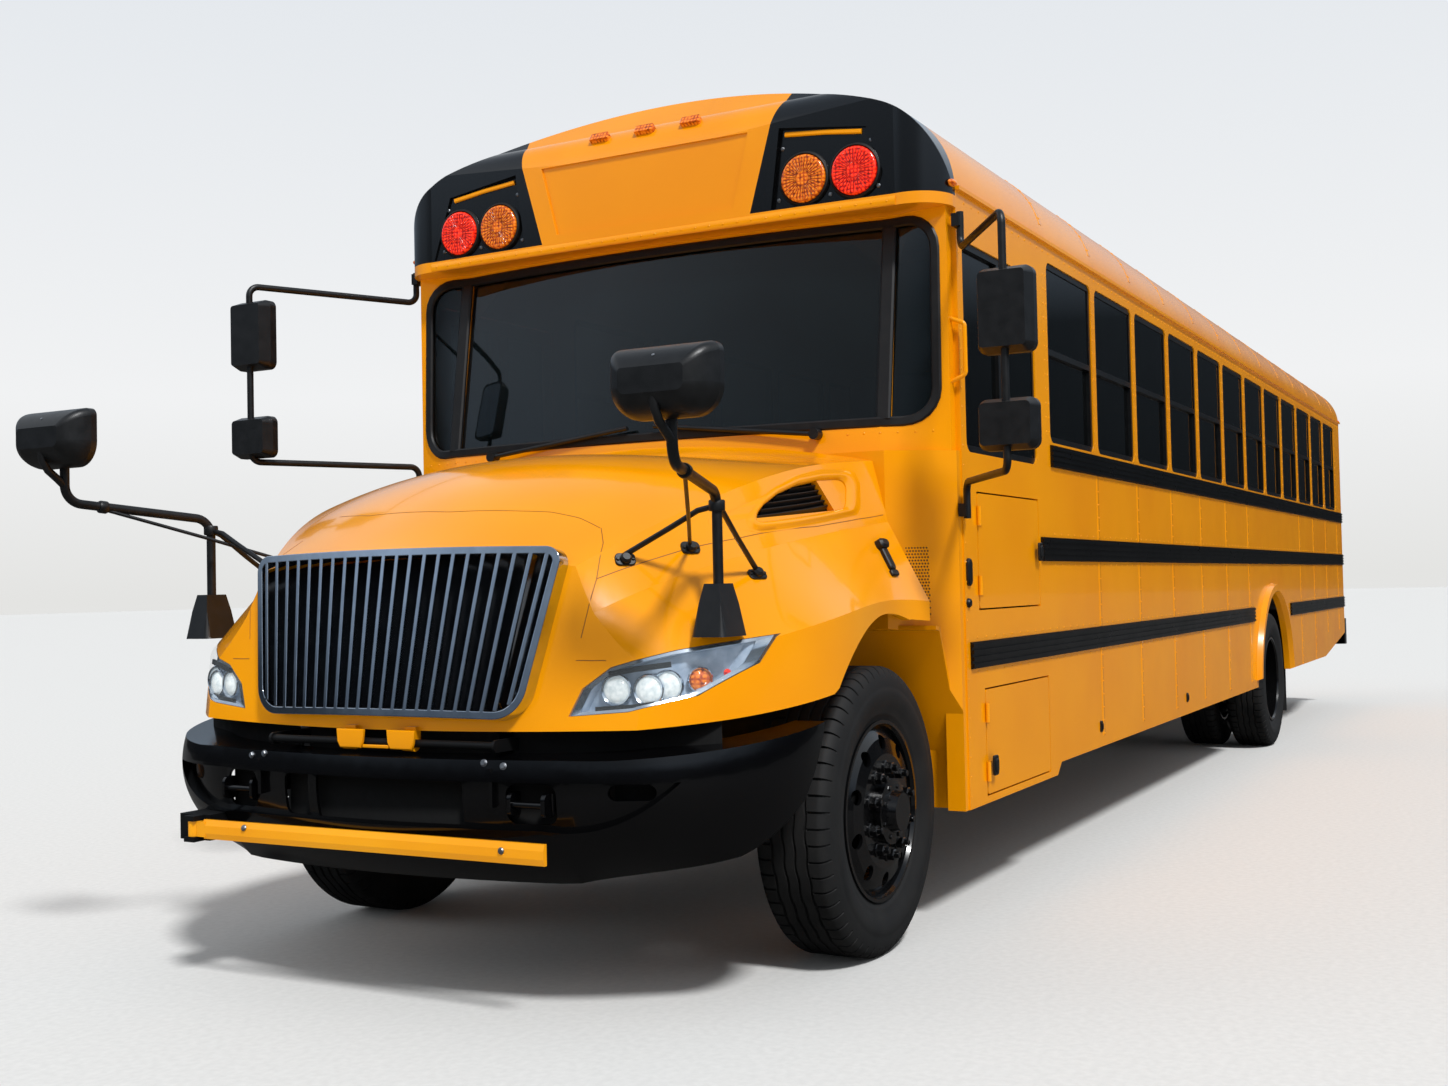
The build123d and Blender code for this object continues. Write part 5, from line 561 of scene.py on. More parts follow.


# Lamp lenses. Amber and red polycarbonate, moulded inside with fine prisms and
# a sunburst of darker flutes that fan the light out from a bright middle. The flutes'
# darker tint is painted shade, the lens tint is darker in the prism hollows and lighter
# on the ridges as painted shade and highlight, and the lenses glow a little with painted light.
def lens_plastic(name, deep, dark, light, painted_glow):
    """Prismatic lens: 14 mm cells and crossed 7 mm ridges bump a glossy tint and shade it,
    darker in the hollows and lighter on the ridges as painted shade and highlight; a painted glow lights it
    from within."""
    made, tree, spot = blank_material(name)
    cells = put(tree, "ShaderNodeTexVoronoi", "Distance", Vector=spot, Scale=70.0)
    across = put(tree, "ShaderNodeTexWave", "Fac", Vector=spot, Scale=22.0, bands_direction="Y")
    upright = put(tree, "ShaderNodeTexWave", "Fac", Vector=spot, Scale=22.0, bands_direction="Z")
    prisms = put(tree, "ShaderNodeMath", 0, operation="MULTIPLY", i0=across, i1=upright)
    mixed = put(tree, "ShaderNodeMath", 0, operation="MULTIPLY_ADD", i0=cells, i1=0.9, i2=prisms)
    skin = put(tree, "ShaderNodeBump", "Normal", Height=mixed, Strength=0.3, Distance=0.002)
    relief_shading_tints = ((0.15, deep), (0.5, dark), (1.0, light))
    shade = put(tree, "ShaderNodeValToRGB", "Color", stops=relief_shading_tints, Fac=mixed)
    plastic = put(
        tree, "ShaderNodeBsdfPrincipled", "BSDF", Base_Color=shade, Roughness=0.18, IOR=1.5,
        Normal=skin, Coat_Weight=0.6, Coat_Roughness=0.03, Emission_Color=shade,
        Emission_Strength=painted_glow,
    )
    put(tree, "ShaderNodeOutputMaterial", Surface=plastic)
    return made


def plate(outline, thickness, edge=0.0):
    """An outline of (x, y) pairs raised to a thickness above z = 0, its top
    edge broken by the edge width."""
    outline = np.asarray(outline, float)
    inner = outline * (1 - edge / np.abs(outline).max(0))
    levels = ((outline, 0.0), (outline, thickness - edge), (inner, thickness))
    points = np.concatenate([np.column_stack((o, np.full(len(o), h))) for o, h in levels])
    count = len(outline)
    ends = [list(range(count)), list(range(2 * count, 3 * count))]
    return points, grid_quads(3, count, False, True) + ends


# The amber and red plastics, the side reflectors' too, are given a small glow, which is painted light.
amber = lens_plastic("amber_polycarbonate", "#7A2E02", "#C65204", "#F08414", 0.12)
red = lens_plastic("red_polycarbonate", "#7E0802", "#D41404", "#FF3A14", 0.3)
dark_amber = lens_plastic("shaded_amber_flutes", "#3A1400", "#6A2400", "#8A3600", 0.0)
dark_red = lens_plastic("shaded_red_flutes", "#420300", "#7A0800", "#9A1400", 0.0)
finish_nodes(amber, "amber_lamps")
finish_nodes(red, "red_lamps")
lens_depth, flute_count, flute_centre, flute_length, flute_width = 0.024, 36, 0.052, 0.054, 0.0018
flute_ends = ((1, 1), (-1, 1), (-1, -1), (1, -1))
flute = plate([(x * flute_width / 2, y * flute_length / 2) for x, y in flute_ends], 0.0016, 0.0004)
marker_squash, marker_z = (1.0, 0.45, 1.0), 2.661
marker_points, marker_faces = turned(
    [(0.030, -0.002), (0.030, 0.004), (0.026, 0.011), (0.014, 0.016), (0.004, 0.017)], 28
)
marker = (marker_points * marker_squash, marker_faces)
for tint, flutes_dark in (("amber", dark_amber), ("red", dark_red)):
    places = []
    for x, y, z in [spot[:3] for spot in lamp_spots if spot[3] == tint]:
        for side in (1, -1):
            middle = np.array((x + np.sign(x) * lens_depth, side * y, z))
            for turn in np.arange(flute_count) * 2 * np.pi / flute_count:
                outward = np.array((0, np.cos(turn), np.sin(turn)))
                places.append(facing(middle + flute_centre * outward, (np.sign(x), 0, 0), outward))
    piece(f"{tint}_lens_flutes", copies(flute, places), flutes_dark, "body")
for tint, lens, marker_x in (("amber", amber, 4.325), ("red", red, -6.09)):
    places = [facing((marker_x, side * side_y, marker_z), (0, side, 0)) for side in (1, -1)]
    piece(f"{tint}_side_markers", copies(marker, places), lens, "body")


# Windshield rubber. A black extruded gasket holds the three panes in the
# moulded surround, a black cover closes each post between the panes, and a row
# of painted rivets holds the surround's foot to the cowl.
def rounded(width, height, radius, steps=6):
    """Outline of a round-cornered rectangle, as (across, up) pairs."""
    turn = np.linspace(0, np.pi / 2, steps + 1)
    corners = []
    for i, (sx, sy) in enumerate(((1, 1), (-1, 1), (-1, -1), (1, -1))):
        a = turn + i * np.pi / 2
        centre = (sx * (width / 2 - radius), sy * (height / 2 - radius))
        corners.append(np.column_stack((np.cos(a), np.sin(a))) * radius + centre)
    return np.concatenate(corners)


def spread_along(path, step, closed=False, count=None):
    """Even points along a path, about one step apart, or in a given count."""
    path = np.asarray(path, float)
    path = np.concatenate((path, path[:1])) if closed else path
    length = np.concatenate(([0], np.cumsum(np.linalg.norm(np.diff(path, axis=0), axis=1))))
    at = np.linspace(0, length[-1], (count or max(2, round(length[-1] / step))) + 1)
    at = at[:-1] if closed else at
    return np.column_stack([np.interp(at, length, column) for column in path.T])


def onto(node, points, direction):
    """Where rays from the points along a direction first meet a CAD node: the
    places, and the outward directions there, or not-a-number where one misses."""
    mesh = nodes[node].data
    search = BVHTree.FromPolygons([v.co for v in mesh.vertices], [p.vertices for p in mesh.polygons])
    ways = np.broadcast_to(direction, np.shape(points))
    hits = [search.ray_cast(Vector(point), Vector(way))[:2] for point, way in zip(points, ways)]
    found = np.array([[tuple(part) if part else (np.nan,) * 3 for part in hit] for hit in hits])
    return found[:, 0], found[:, 1]


def seated(shape, node, points, direction):
    """The shape set on a CAD node wherever rays from the points meet it."""
    return copies(shape, [facing(p, n) for p, n in zip(*onto(node, np.array(points), direction))])


backward, before_glass = (-1, 0, 0), 5.0
glazing_width, glazing_height, glazing_corner, glazing_z = 2.308, 0.738, 0.114, 2.18
post_y, post_low, post_top = 0.97, 1.822, 2.538
edge = spread_along(rounded(glazing_width, glazing_height, glazing_corner), 0.03, True)
starts = np.column_stack((np.full(len(edge), before_glass), edge[:, 0], edge[:, 1] + glazing_z))
seat, _ = onto("windshield_surround", starts, backward)
gasket_section = moulding(0.018, -0.004, 0.008, (0.006, 0.005))
post_section = moulding(0.027, -0.006, 0.009, (0.007, 0.005))
shapes = [swept(seat, gasket_section, (1, 0, 0), True)]
for side in (1, -1):
    starts = [(before_glass, side * post_y, z) for z in np.linspace(post_low, post_top, 15)]
    seat, _ = onto("windshield_surround", starts, backward)
    shapes.append(swept(seat, post_section, (1, 0, 0)))
piece("windshield_gasket", joined(*shapes), black_rubber, "body")
starts = [(before_glass, y, 1.772) for y in np.arange(-1.14, 1.15, 0.06) if abs(y) > 0.8]
shape = seated(rivet, "windshield_surround", starts, backward)
piece("surround_rivets", shape, moulded_yellow, "body")


# Headlamps. Each clear lens covers an aluminised rim and a silvered bowl with
# three round projectors, an amber turn signal and a small red side reflector.
far_ahead = 7.0


def ringed(outline, centre, surface, rows):
    """Rings of an outline, each scaled about a centre, laid on a surface and
    sunk below it by a depth, joined into one closed skin. Rows are (scale,
    depth) pairs; the surface gives places and outward directions."""
    rings = []
    for scale, depth in rows:
        place, out = surface(centre + (outline - centre) * scale)
        rings.append(place - depth * out)
    return np.concatenate(rings), grid_quads(len(rows), len(outline), True, True)


def lamp_surface(points):
    """The lens's outer face over (y, z) points of the driver's side. Its outward
    direction turns from the nose's to the fender's between two widths."""
    starts = np.column_stack((np.full(len(points), far_ahead), points))
    place, _ = onto("headlamps", starts, backward)
    share = np.clip((points[:, :1] - 0.62) / 0.43, 0, 1)
    out = (1 - share) * (0.96, 0.21, 0.17) + share * (0.62, 0.78, 0.07)
    return place, out / np.linalg.norm(out, axis=1, keepdims=True)


def mirrored_too(shape):
    """The shape and its mirror image across the bus's middle plane."""
    points, faces = shape
    return joined(shape, (points * (1, -1, 1), faces))


lamp_corners = [
    (0.625, 0.872), (0.660, 0.950), (0.740, 1.010), (0.900, 1.055),
    (1.105, 1.092), (1.075, 1.010), (0.960, 0.925), (0.800, 0.885),
]
lamp_outline = spread_along(lamp_corners, 0.02, True)
lamp_centre = np.array((0.86, 0.965))
rim_rows = ((0.975, 0.003), (0.86, 0.006), (0.86, 0.012), (0.975, 0.012))
bowl_rows = (
    (0.90, 0.008), (0.84, 0.020), (0.80, 0.042), (0.45, 0.046), (0.03, 0.046), (0.03, 0.05),
    (0.45, 0.05), (0.90, 0.05),
)
lamp_rim = ringed(lamp_outline, lamp_centre, lamp_surface, rim_rows)
lamp_bowl = ringed(lamp_outline, lamp_centre, lamp_surface, bowl_rows)
aluminised = plated("aluminised_reflector", "#C3CCD6", "#DCE4EC", 0.12)
bowl_plastic = moulded("headlamp_bowl_plastic", "#93A6BC", "#B4C4D6", 0.25, 600.0, 0.05)
piece("headlamp_rims", mirrored_too(lamp_rim), aluminised, "hood")
piece("headlamp_bowls", mirrored_too(lamp_bowl), bowl_plastic, "hood")
projector_ring = turned(
    [(0.040, -0.010), (0.045, -0.004), (0.046, 0.010), (0.043, 0.014), (0.038, 0.010), (0.038, -0.010)],
    40,
    True,
)
projector_lens = turned(
    [(0.0385, -0.004), (0.0385, 0.004), (0.033, 0.011), (0.022, 0.016), (0.008, 0.0185)], 40
)
projectors = [
    facing(middle, (0.97, 0.22, 0.05))
    for middle in ((5.872, 0.748, 0.945), (5.845, 0.838, 0.944), (5.811, 0.881, 0.954))
]
signal_place = facing((5.752, 0.951, 0.968), (0.75, 0.65, 0.05))
signal_ring = turned(
    [(0.036, -0.006), (0.038, 0.004), (0.034, 0.008), (0.030, 0.002), (0.028, -0.006)], 36, True
)
rings = joined(copies(projector_ring, projectors), copies(signal_ring, [signal_place]))
piece("projector_rings", mirrored_too(rings), aluminised, "hood")
projector_tints = ((0.3, "#C9D4D6"), (0.7, "#EEF3F2"))
projector_glass, tree, spot = blank_material("projector_lens_glass")
fluting = put(tree, "ShaderNodeTexNoise", "Fac", Vector=spot, Scale=60.0, Detail=2.0)
shade = put(tree, "ShaderNodeValToRGB", "Color", stops=projector_tints, Fac=fluting)
# The projector lenses are given a faint glow, which is painted light.
paint = put(
    tree, "ShaderNodeBsdfPrincipled", "BSDF", Base_Color=shade, Roughness=0.06, Coat_Weight=0.8,
    Coat_Roughness=0.02, Emission_Color=shade, Emission_Strength=0.25,
)
put(tree, "ShaderNodeOutputMaterial", Surface=paint)
shape = mirrored_too(copies(projector_lens, projectors))
piece("projector_lenses", shape, projector_glass, "hood")
signal_lens = turned(
    [(0.0285, -0.004), (0.0285, 0.001), (0.022, 0.006), (0.010, 0.009), (0.003, 0.0095)], 36
)
shape = mirrored_too(copies(signal_lens, [signal_place]))
piece("turn_signal_lenses", shape, amber, "hood")
accents = [
    swept(path, moulding(half, -0.004, 0.004), (0.85, 0.5, 0.1))
    for half, path in (
        (0.008, [(5.893, 0.735, 0.990), (5.868, 0.80, 1.003), (5.818, 0.895, 1.015)]),
        (0.006, [(5.912, 0.70, 0.893), (5.880, 0.80, 0.899), (5.828, 0.895, 0.911)]),
    )
]
piece("headlamp_accents", mirrored_too(joined(*accents)), black_plastic, "hood")
dot = turned([(0.011, -0.003), (0.011, 0.001), (0.008, 0.004), (0.002, 0.005)], 20)
shape = mirrored_too(copies(dot, [facing((5.697, 1.009, 0.986), (0.62, 0.78, 0.07))]))
piece("headlamp_side_reflectors", shape, red, "hood")


# Grille mesh. Behind the chrome bars a black insect screen closes the opening
# in the hood's nose; the nose is bowed and leans back ten degrees.
nose_x, nose_z, nose_lean, nose_radius = 6.005, 0.815, np.radians(10), 3.6
screen_top_y, screen_top_z, screen_low_y, screen_low_z = 0.563, 1.335, 0.50, 0.868
screen_rows, screen_columns = 9, 33
z, y = np.meshgrid(
    np.linspace(screen_low_z, screen_top_z, screen_rows),
    np.linspace(-1, 1, screen_columns),
    indexing="ij",
)
rise = (z - screen_low_z) / (screen_top_z - screen_low_z)
y = y * (screen_low_y + (screen_top_y - screen_low_y) * rise)
x = nose_x - (z - nose_z) * np.tan(nose_lean) - y**2 / (2 * nose_radius)
screen_faces = [np.stack((x - depth, y, z), -1).reshape(-1, 3) for depth in (0.049, 0.052)]
index = np.arange(z.size).reshape(z.shape)
rim = [*index[0], *index[1:, -1], *index[-1, -2::-1], *index[-2:0:-1, 0]]
front_faces = grid_quads(screen_rows, screen_columns)
back_faces = [[i + z.size for i in face] for face in front_faces]
rim_faces = [[int(v) for v in (a, b, b + z.size, a + z.size)] for a, b in zip(rim, rim[1:] + rim[:1])]
screen_mesh, tree, spot = blank_material("black_insect_screen")
weft = put(tree, "ShaderNodeTexWave", "Fac", Vector=spot, Scale=90.0, bands_direction="Y")
warp = put(tree, "ShaderNodeTexWave", "Fac", Vector=spot, Scale=90.0, bands_direction="Z")
weave = put(tree, "ShaderNodeMath", 0, operation="MULTIPLY", i0=weft, i1=warp)
wire = ((0.2, "#020202"), (0.9, "#0E0F10"))
shade = put(tree, "ShaderNodeValToRGB", "Color", stops=wire, Fac=weave)
skin = put(tree, "ShaderNodeBump", "Normal", Height=weave, Strength=0.4, Distance=0.001)
paint = put(tree, "ShaderNodeBsdfPrincipled", "BSDF", Base_Color=shade, Roughness=0.7, Normal=skin)
put(tree, "ShaderNodeOutputMaterial", Surface=paint)
shape = (np.concatenate(screen_faces), front_faces + back_faces + rim_faces)
piece("grille_screen", shape, screen_mesh, "hood")


# Hood vents. A moulded yellow scoop is bonded over the opening on each cheek of
# the hood: a raised rim runs round a half-moon mouth, and dark slats stand in
# front of a near-black baffle inside it, whose colour is painted shade. Outlines are (x, z) pairs.
vent_mouth = np.array(
    [
        (5.294, 1.434), (5.275, 1.459), (5.237, 1.484), (5.150, 1.523), (5.029, 1.556),
        (4.891, 1.578), (4.762, 1.588), (4.722, 1.583), (4.714, 1.560), (4.750, 1.502),
        (4.773, 1.486), (4.958, 1.463), (5.168, 1.441), (5.278, 1.430),
    ]
)
vent_rim = [
    (5.335, 1.425), (5.330, 1.442), (5.308, 1.460), (5.249, 1.503), (5.153, 1.545), (5.007, 1.588),
    (4.845, 1.612), (4.695, 1.621), (4.633, 1.615), (4.621, 1.579), (4.662, 1.498), (4.697, 1.473),
    (4.913, 1.444), (5.137, 1.417), (5.295, 1.402), (5.328, 1.408),
]
vent_skirt = [
    (5.475, 1.421), (5.474, 1.434), (5.395, 1.462), (5.250, 1.515), (5.153, 1.555), (5.007, 1.596),
    (4.845, 1.619), (4.695, 1.627), (4.628, 1.621), (4.614, 1.579), (4.654, 1.494), (4.692, 1.467),
    (4.913, 1.437), (5.137, 1.410), (5.295, 1.395), (5.420, 1.410),
]
lower_lip, upper_lip = vent_mouth[9:], vent_mouth[[6, 5, 4, 3, 2, 0]]
vent_centre = vent_mouth.mean(0)
skirt_reach = spread_along(vent_skirt, 0.03, True) - vent_centre
around = np.concatenate([vent_centre + skirt_reach * scale for scale in (1.0, 1.06, 1.12)])
beside, cheek_y = 2.0, 0.8
starts = np.column_stack((around[:, 0], np.full(len(around), beside), around[:, 1]))
place, _ = onto("hood", starts, (0, -1, 0))
on_cheek = place[:, 1] > cheek_y
place, around = place[on_cheek], around[on_cheek]


def cubic_terms(points):
    """The terms of a full cubic in x and z about the vent's middle, and their
    slopes in x and in z."""
    a, b = (points - vent_centre).T
    one, none = np.ones(len(a)), np.zeros(len(a))
    terms = (one, a, b, a * a, a * b, b * b, a**3, a * a * b, a * b * b, b**3)
    in_x = (none, one, none, 2 * a, b, none, 3 * a * a, 2 * a * b, b * b, none)
    in_z = (none, none, one, none, a, 2 * b, none, a * a, 2 * a * b, 3 * b * b)
    return [np.column_stack(t) for t in (terms, in_x, in_z)]


vent_fit = np.linalg.lstsq(cubic_terms(around)[0], place[:, 1], rcond=None)[0]


def vent_surface(points):
    """The hood's cheek carried over the opening: y as a cubic in x and z,
    fitted to the skin round it, and the outward direction."""
    y, slope_x, slope_z = (terms @ vent_fit for terms in cubic_terms(points))
    out = np.column_stack((-slope_x, np.ones(len(y)), -slope_z))
    out = out / np.linalg.norm(out, axis=1, keepdims=True)
    return np.column_stack((points[:, 0], y, points[:, 1])), out


vent_points = 96
mouth, rim, skirt = (spread_along(o, None, True, vent_points) for o in (vent_mouth, vent_rim, vent_skirt))
inward = (  # share of the way from rim to mouth, and depth below the cheek
    (0.25, -0.0095), (0.5, -0.012), (0.8, -0.009), (1.0, -0.002), (1.0, 0.030), (0.9, 0.030),
    (0.9, 0.004),
)
rows = [(skirt, 0.004), (skirt, -0.0008), (rim, -0.0014)]
rows += [(rim + (mouth - rim) * share, depth) for share, depth in inward]
scoop = []
for outline, depth in rows:
    place, out = vent_surface(outline)
    scoop.append(place - depth * out)
scoop = (np.concatenate(scoop), grid_quads(len(rows), vent_points, True, True))
piece("hood_vent_scoops", mirrored_too(scoop), moulded_yellow, "hood", 50)
vent_shade_rows = ((1.04, 0.024), (0.5, 0.032), (0.03, 0.032), (0.03, 0.036), (0.5, 0.036), (1.04, 0.028))
vent_shade_baffle = ringed(mouth, vent_centre, vent_surface, vent_shade_rows)
piece("hood_vent_shade_baffles", mirrored_too(vent_shade_baffle), shade_black_liner, "hood")
slat_section = [(-0.010, -0.014), (-0.0075, -0.015), (0.005, 0.000), (0.0025, 0.001)]
slat_pitch, slat_sunk, slat_clear = 0.018, 0.012, 0.003
x = np.linspace(4.73, 5.28, 56)
low, high = (np.interp(x, *lip.T) for lip in (lower_lip, upper_lip))
slats = []
for rise in np.arange(0.02, 0.1, slat_pitch):
    inside = high - low > rise + slat_clear
    if inside.sum() > 3:
        seat, out = vent_surface(np.column_stack((x[inside], low[inside] + rise)))
        slats.append(swept(seat - slat_sunk * out, slat_section, out))
piece("hood_vent_slats", mirrored_too(joined(*slats)), black_rubber, "hood")


# Hood joints. The hood is bonded from a nose, a top and two fenders; the joints
# show as thin dark lines, painted shade of their narrow grooves, that run back from the grille's corners.
nose_joint = [
    (5.608, -0.517, 1.493), (5.676, -0.325, 1.487), (5.716, 0.037, 1.484), (5.698, 0.295, 1.476),
    (5.684, 0.4, 1.469), (5.685, 0.507, 1.447), (5.704, 0.591, 1.413),
]
corner_joint = [
    (5.703, 0.594, 1.413), (5.756, 0.635, 1.366), (5.835, 0.661, 1.261), (5.88, 0.659, 1.172),
    (5.897, 0.645, 1.093),
]
fender_joint = [
    (5.835, 0.661, 1.261), (5.765, 0.707, 1.288), (5.674, 0.765, 1.318), (5.569, 0.821, 1.348),
    (5.491, 0.857, 1.363), (5.389, 0.895, 1.379), (5.231, 0.934, 1.402), (4.993, 0.963, 1.418),
    (4.684, 0.984, 1.452), (4.528, 1.009, 1.471),
]
lamp_joint = [(5.91, 0.635, 1.03), (5.902, 0.677, 1.029), (5.892, 0.725, 1.029)]
joint_section, joint_reach = moulding(0.0013, -0.001, 0.0005), 0.06
joints = []
for path, way in (
    (nose_joint, (0.5, 0.0, 0.85)), (corner_joint, (0.85, 0.45, 0.3)),
    (fender_joint, (0.45, 0.78, 0.44)), (lamp_joint, (0.96, 0.19, 0.17)),
):
    way = np.array(way) / np.linalg.norm(way)
    place, _ = onto("hood", spread_along(path, 0.02) + joint_reach * way, -way)
    joints.append(swept(place[np.isfinite(place[:, 0])], joint_section, way))
# The joint lines' dark orange colour is painted shade of the grooves.
joint_groove_shade = moulded("painted_joint_groove_shade", "#8A4E00", "#9A5A02", 0.6, 400.0, 0.1)
piece("hood_joints", joined(joints[0], mirrored_too(joined(*joints[1:]))), joint_groove_shade, "hood")


# Latches and small covers. A black rubber pull latch holds each rear corner of
# the hood; the cowl cheek behind it is perforated as an air inlet, and black
# covers, plugs and thumb latches are set on the side panels.
def placed(spot, turn=np.eye(3)):
    """A place at a spot, level unless its three axes are given."""
    return np.vstack((turn, spot))


latch_place = facing((4.639, 1.059, 1.32), (0.12, 0.87, 0.47))
latch_up = latch_place[1]
latch_parts = (  # outline, thickness, broken edge, distance up the latch
    (rounded(0.034, 0.11, 0.014), 0.016, 0.004, 0.0),
    (rounded(0.052, 0.036, 0.014), 0.030, 0.008, 0.045),
    (rounded(0.046, 0.024, 0.008), 0.012, 0.003, -0.065),
)
latch = [
    copies(plate(outline, thickness, edge), [placed(latch_place[3] + latch_up * rise, latch_place[:3])])
    for outline, thickness, edge, rise in latch_parts
]
piece("hood_pull_latches", mirrored_too(joined(*latch)), black_rubber, "hood")
inlet_corner, inlet_way = np.array((4.461, 1.065, 1.353)), (0.75, 0.66, 0)
inlet_across, inlet_down = np.array((-0.0072, 0.0083, 0.0)), np.array((0.0, 0.0, -0.0112))
inlet_rows, inlet_columns, inlet_stagger, inlet_slant = 23, 8, 0.35, 0.02
inlet_hole = turned([(0.0034, -0.001), (0.0034, 0.0003), (0.0014, 0.0005)], 8)
holes = []
for row in range(inlet_rows):
    for column in range(inlet_columns):
        along = column + inlet_stagger * (row % 2) + row * inlet_slant
        holes.append(facing(inlet_corner + along * inlet_across + row * inlet_down, inlet_way))
inlet_shadow = moulded("inlet_shadow", "#2A1300", "#3A1C02", 0.9, 300.0, 0.1)
piece("cowl_air_inlets", mirrored_too(copies(inlet_hole, holes)), inlet_shadow, "body")
catch = joined(
    plate(rounded(0.045, 0.125, 0.012), 0.010, 0.003),
    copies(plate(rounded(0.026, 0.05, 0.008), 0.010, 0.002), [placed((0, 0, 0.009))]),
    copies(
        turned([(0.007, 0), (0.007, 0.003), (0.004, 0.005)], 12),
        [placed((0, y, 0.009)) for y in (0.045, -0.045)],
    ),
)
shape = seated(catch, "cowl", [(4.325, beside, 0.55)], (0, -1, 0))
piece("cowl_side_catch", shape, black_plastic, "body")
oval = plate(rounded(0.042, 0.10, 0.0209, 8), 0.012, 0.004)
knob = turned([(0.017, 0.0), (0.017, 0.006), (0.013, 0.012), (0.004, 0.014)], 20)
thumb = joined(
    plate(rounded(0.05, 0.074, 0.012), 0.008, 0.002), plate(rounded(0.03, 0.05, 0.010), 0.013, 0.003)
)
clip = joined(
    plate(rounded(0.034, 0.05, 0.008), 0.007, 0.002), plate(rounded(0.014, 0.03, 0.005), 0.012, 0.002)
)
door_y = 1.235
oval_place = facing((4.254, side_y, 1.264), (0, 1, 0))
knob_place = facing((4.263, side_y, 1.153), (0, 1, 0))
clip_places = [facing((x, s * side_y, 0.556), (0, s, 0)) for x in (2.528, 0.724) for s in (1, -1)]
for name, shape, body in (
    ("side_plugs", joined(copies(oval, [oval_place]), copies(knob, [knob_place])), "body"),
    ("access_door_latch", copies(thumb, [facing((3.44, door_y, 1.344), (0, 1, 0))]), "access_door"),
    ("battery_door_latch", copies(thumb, [facing((4.06, door_y, 0.55), (0, 1, 0))]), "battery_door"),
    ("skirt_clips", copies(clip, clip_places), "body"),
):
    piece(name, shape, black_plastic, body)


# Bumper backing and bolts. Near-black sheets, coloured as painted shade, close the bumper's slots and the
# gap under the hood from behind, a tow pin in two lugs stands in each of the two tow
# slots, and plated bolts hold the bumper and the crossing arm.
def backing(low_y, high_y, low_z, high_z, count, front, bow, half, cheek):
    """An upright sheet across the front of the bus: it bows back by the bow over
    its half width, with y squared, and past that turns back as the cheek times
    the distance to the power 1.15. One that starts off centre is mirrored."""
    y = np.linspace(low_y, high_y, count)
    out = np.abs(y)
    x = front - bow * (np.minimum(out, half) / half) ** 2 - cheek * np.maximum(out - half, 0) ** 1.15
    path = np.column_stack((x, y, np.full(count, (low_z + high_z) / 2)))
    sheet = swept(path, moulding((high_z - low_z) / 2, -0.0015, 0.0015), (1, 0, 0))
    return sheet if low_y < 0 else mirrored_too(sheet)


behind_bumper, under_hood = (9, 6.045, 0.075, 0.64, 0.55), (15, 5.936, 0.052, 0.6, 0.47)
slots = ((-0.352, 0.352, 0.550, 0.706), (0.462, 0.642, 0.560, 0.704), (0.765, 0.905, 0.635, 0.702))
decks = ((-0.365, 0.365, 0.688, 0.848), (0.415, 1.0, 0.688, 0.848))
for name, spans, curve in (
    ("bumper_slot_shade_sheets", slots, behind_bumper),
    ("bumper_deck_shade_sheets", decks, under_hood),
):
    sheets = [backing(*span, *curve) for span in spans]
    piece(name, joined(*sheets), shade_black_liner, "body")


def rod(path, radius, sides=10, up=(0.3, 0.2, 0.93)):
    """A round rod along a path. Up is any direction the path doesn't take."""
    turn = np.arange(sides) * 2 * np.pi / sides
    return swept(path, radius * np.column_stack((np.cos(turn), np.sin(turn))), up)


tow_z, pin_x, lug_x = 0.632, 6.035, 6.022
pin = rod([(pin_x, y, tow_z) for y in (0.492, 0.53, 0.574, 0.612)], 0.010, 14, (1, 0, 0))
lug = plate(rounded(0.06, 0.07, 0.02), 0.012, 0.002)
lugs = copies(lug, [facing((lug_x, y, tow_z), (0, 1, 0)) for y in (0.488, 0.604)])
piece("tow_pins", mirrored_too(joined(pin, lugs)), gloss_black, "body")
hex_head = joined(
    turned([(0.0105, -0.001), (0.0105, 0.0015), (0.0098, 0.002)], 24),
    turned([(0.0085, 0.0015), (0.0085, 0.005), (0.0072, 0.0065)], 6),
)
starts = [(far_ahead, s * y, z) for s in (1, -1) for y, z in ((0.481, 0.74), (0.42, 0.748))]
piece("bumper_bolts", seated(hex_head, "front_bumper", starts, backward), zinc, "body")
arm_bolt = turned([(0.010, -0.001), (0.010, 0.002), (0.0075, 0.005), (0.0025, 0.006)], 18)
starts = [(far_ahead, -0.47, 0.522), (far_ahead, 0.505, 0.513)]
shape = seated(arm_bolt, "crossing_arm", starts, backward)
piece("crossing_arm_rivets", shape, zinc, "crossing_arm")


# Hood tabs. Two moulded yellow tabs hang from the hood's lower lip in front of
# its pivot shaft, joined by a thin strip under a small dark slot.
tab_x, tab_y, tab_z, strip_z = 6.030, 0.097, 0.803, 0.779
tab_outline = [
    (0.053, 0.026), (-0.053, 0.026), (-0.050, -0.012), (-0.040, -0.030), (0.040, -0.030),
    (0.048, -0.012),
]
tab = plate(tab_outline, 0.010, 0.003)
strip = plate(rounded(0.10, 0.010, 0.003), 0.008, 0.002)
tab_places = [facing((tab_x, y, tab_z), (1, 0, 0)) for y in (-tab_y, tab_y)]
shape = joined(copies(tab, tab_places), copies(strip, [facing((tab_x, 0, strip_z), (1, 0, 0))]))
piece("hood_tabs", shape, moulded_yellow, "hood")


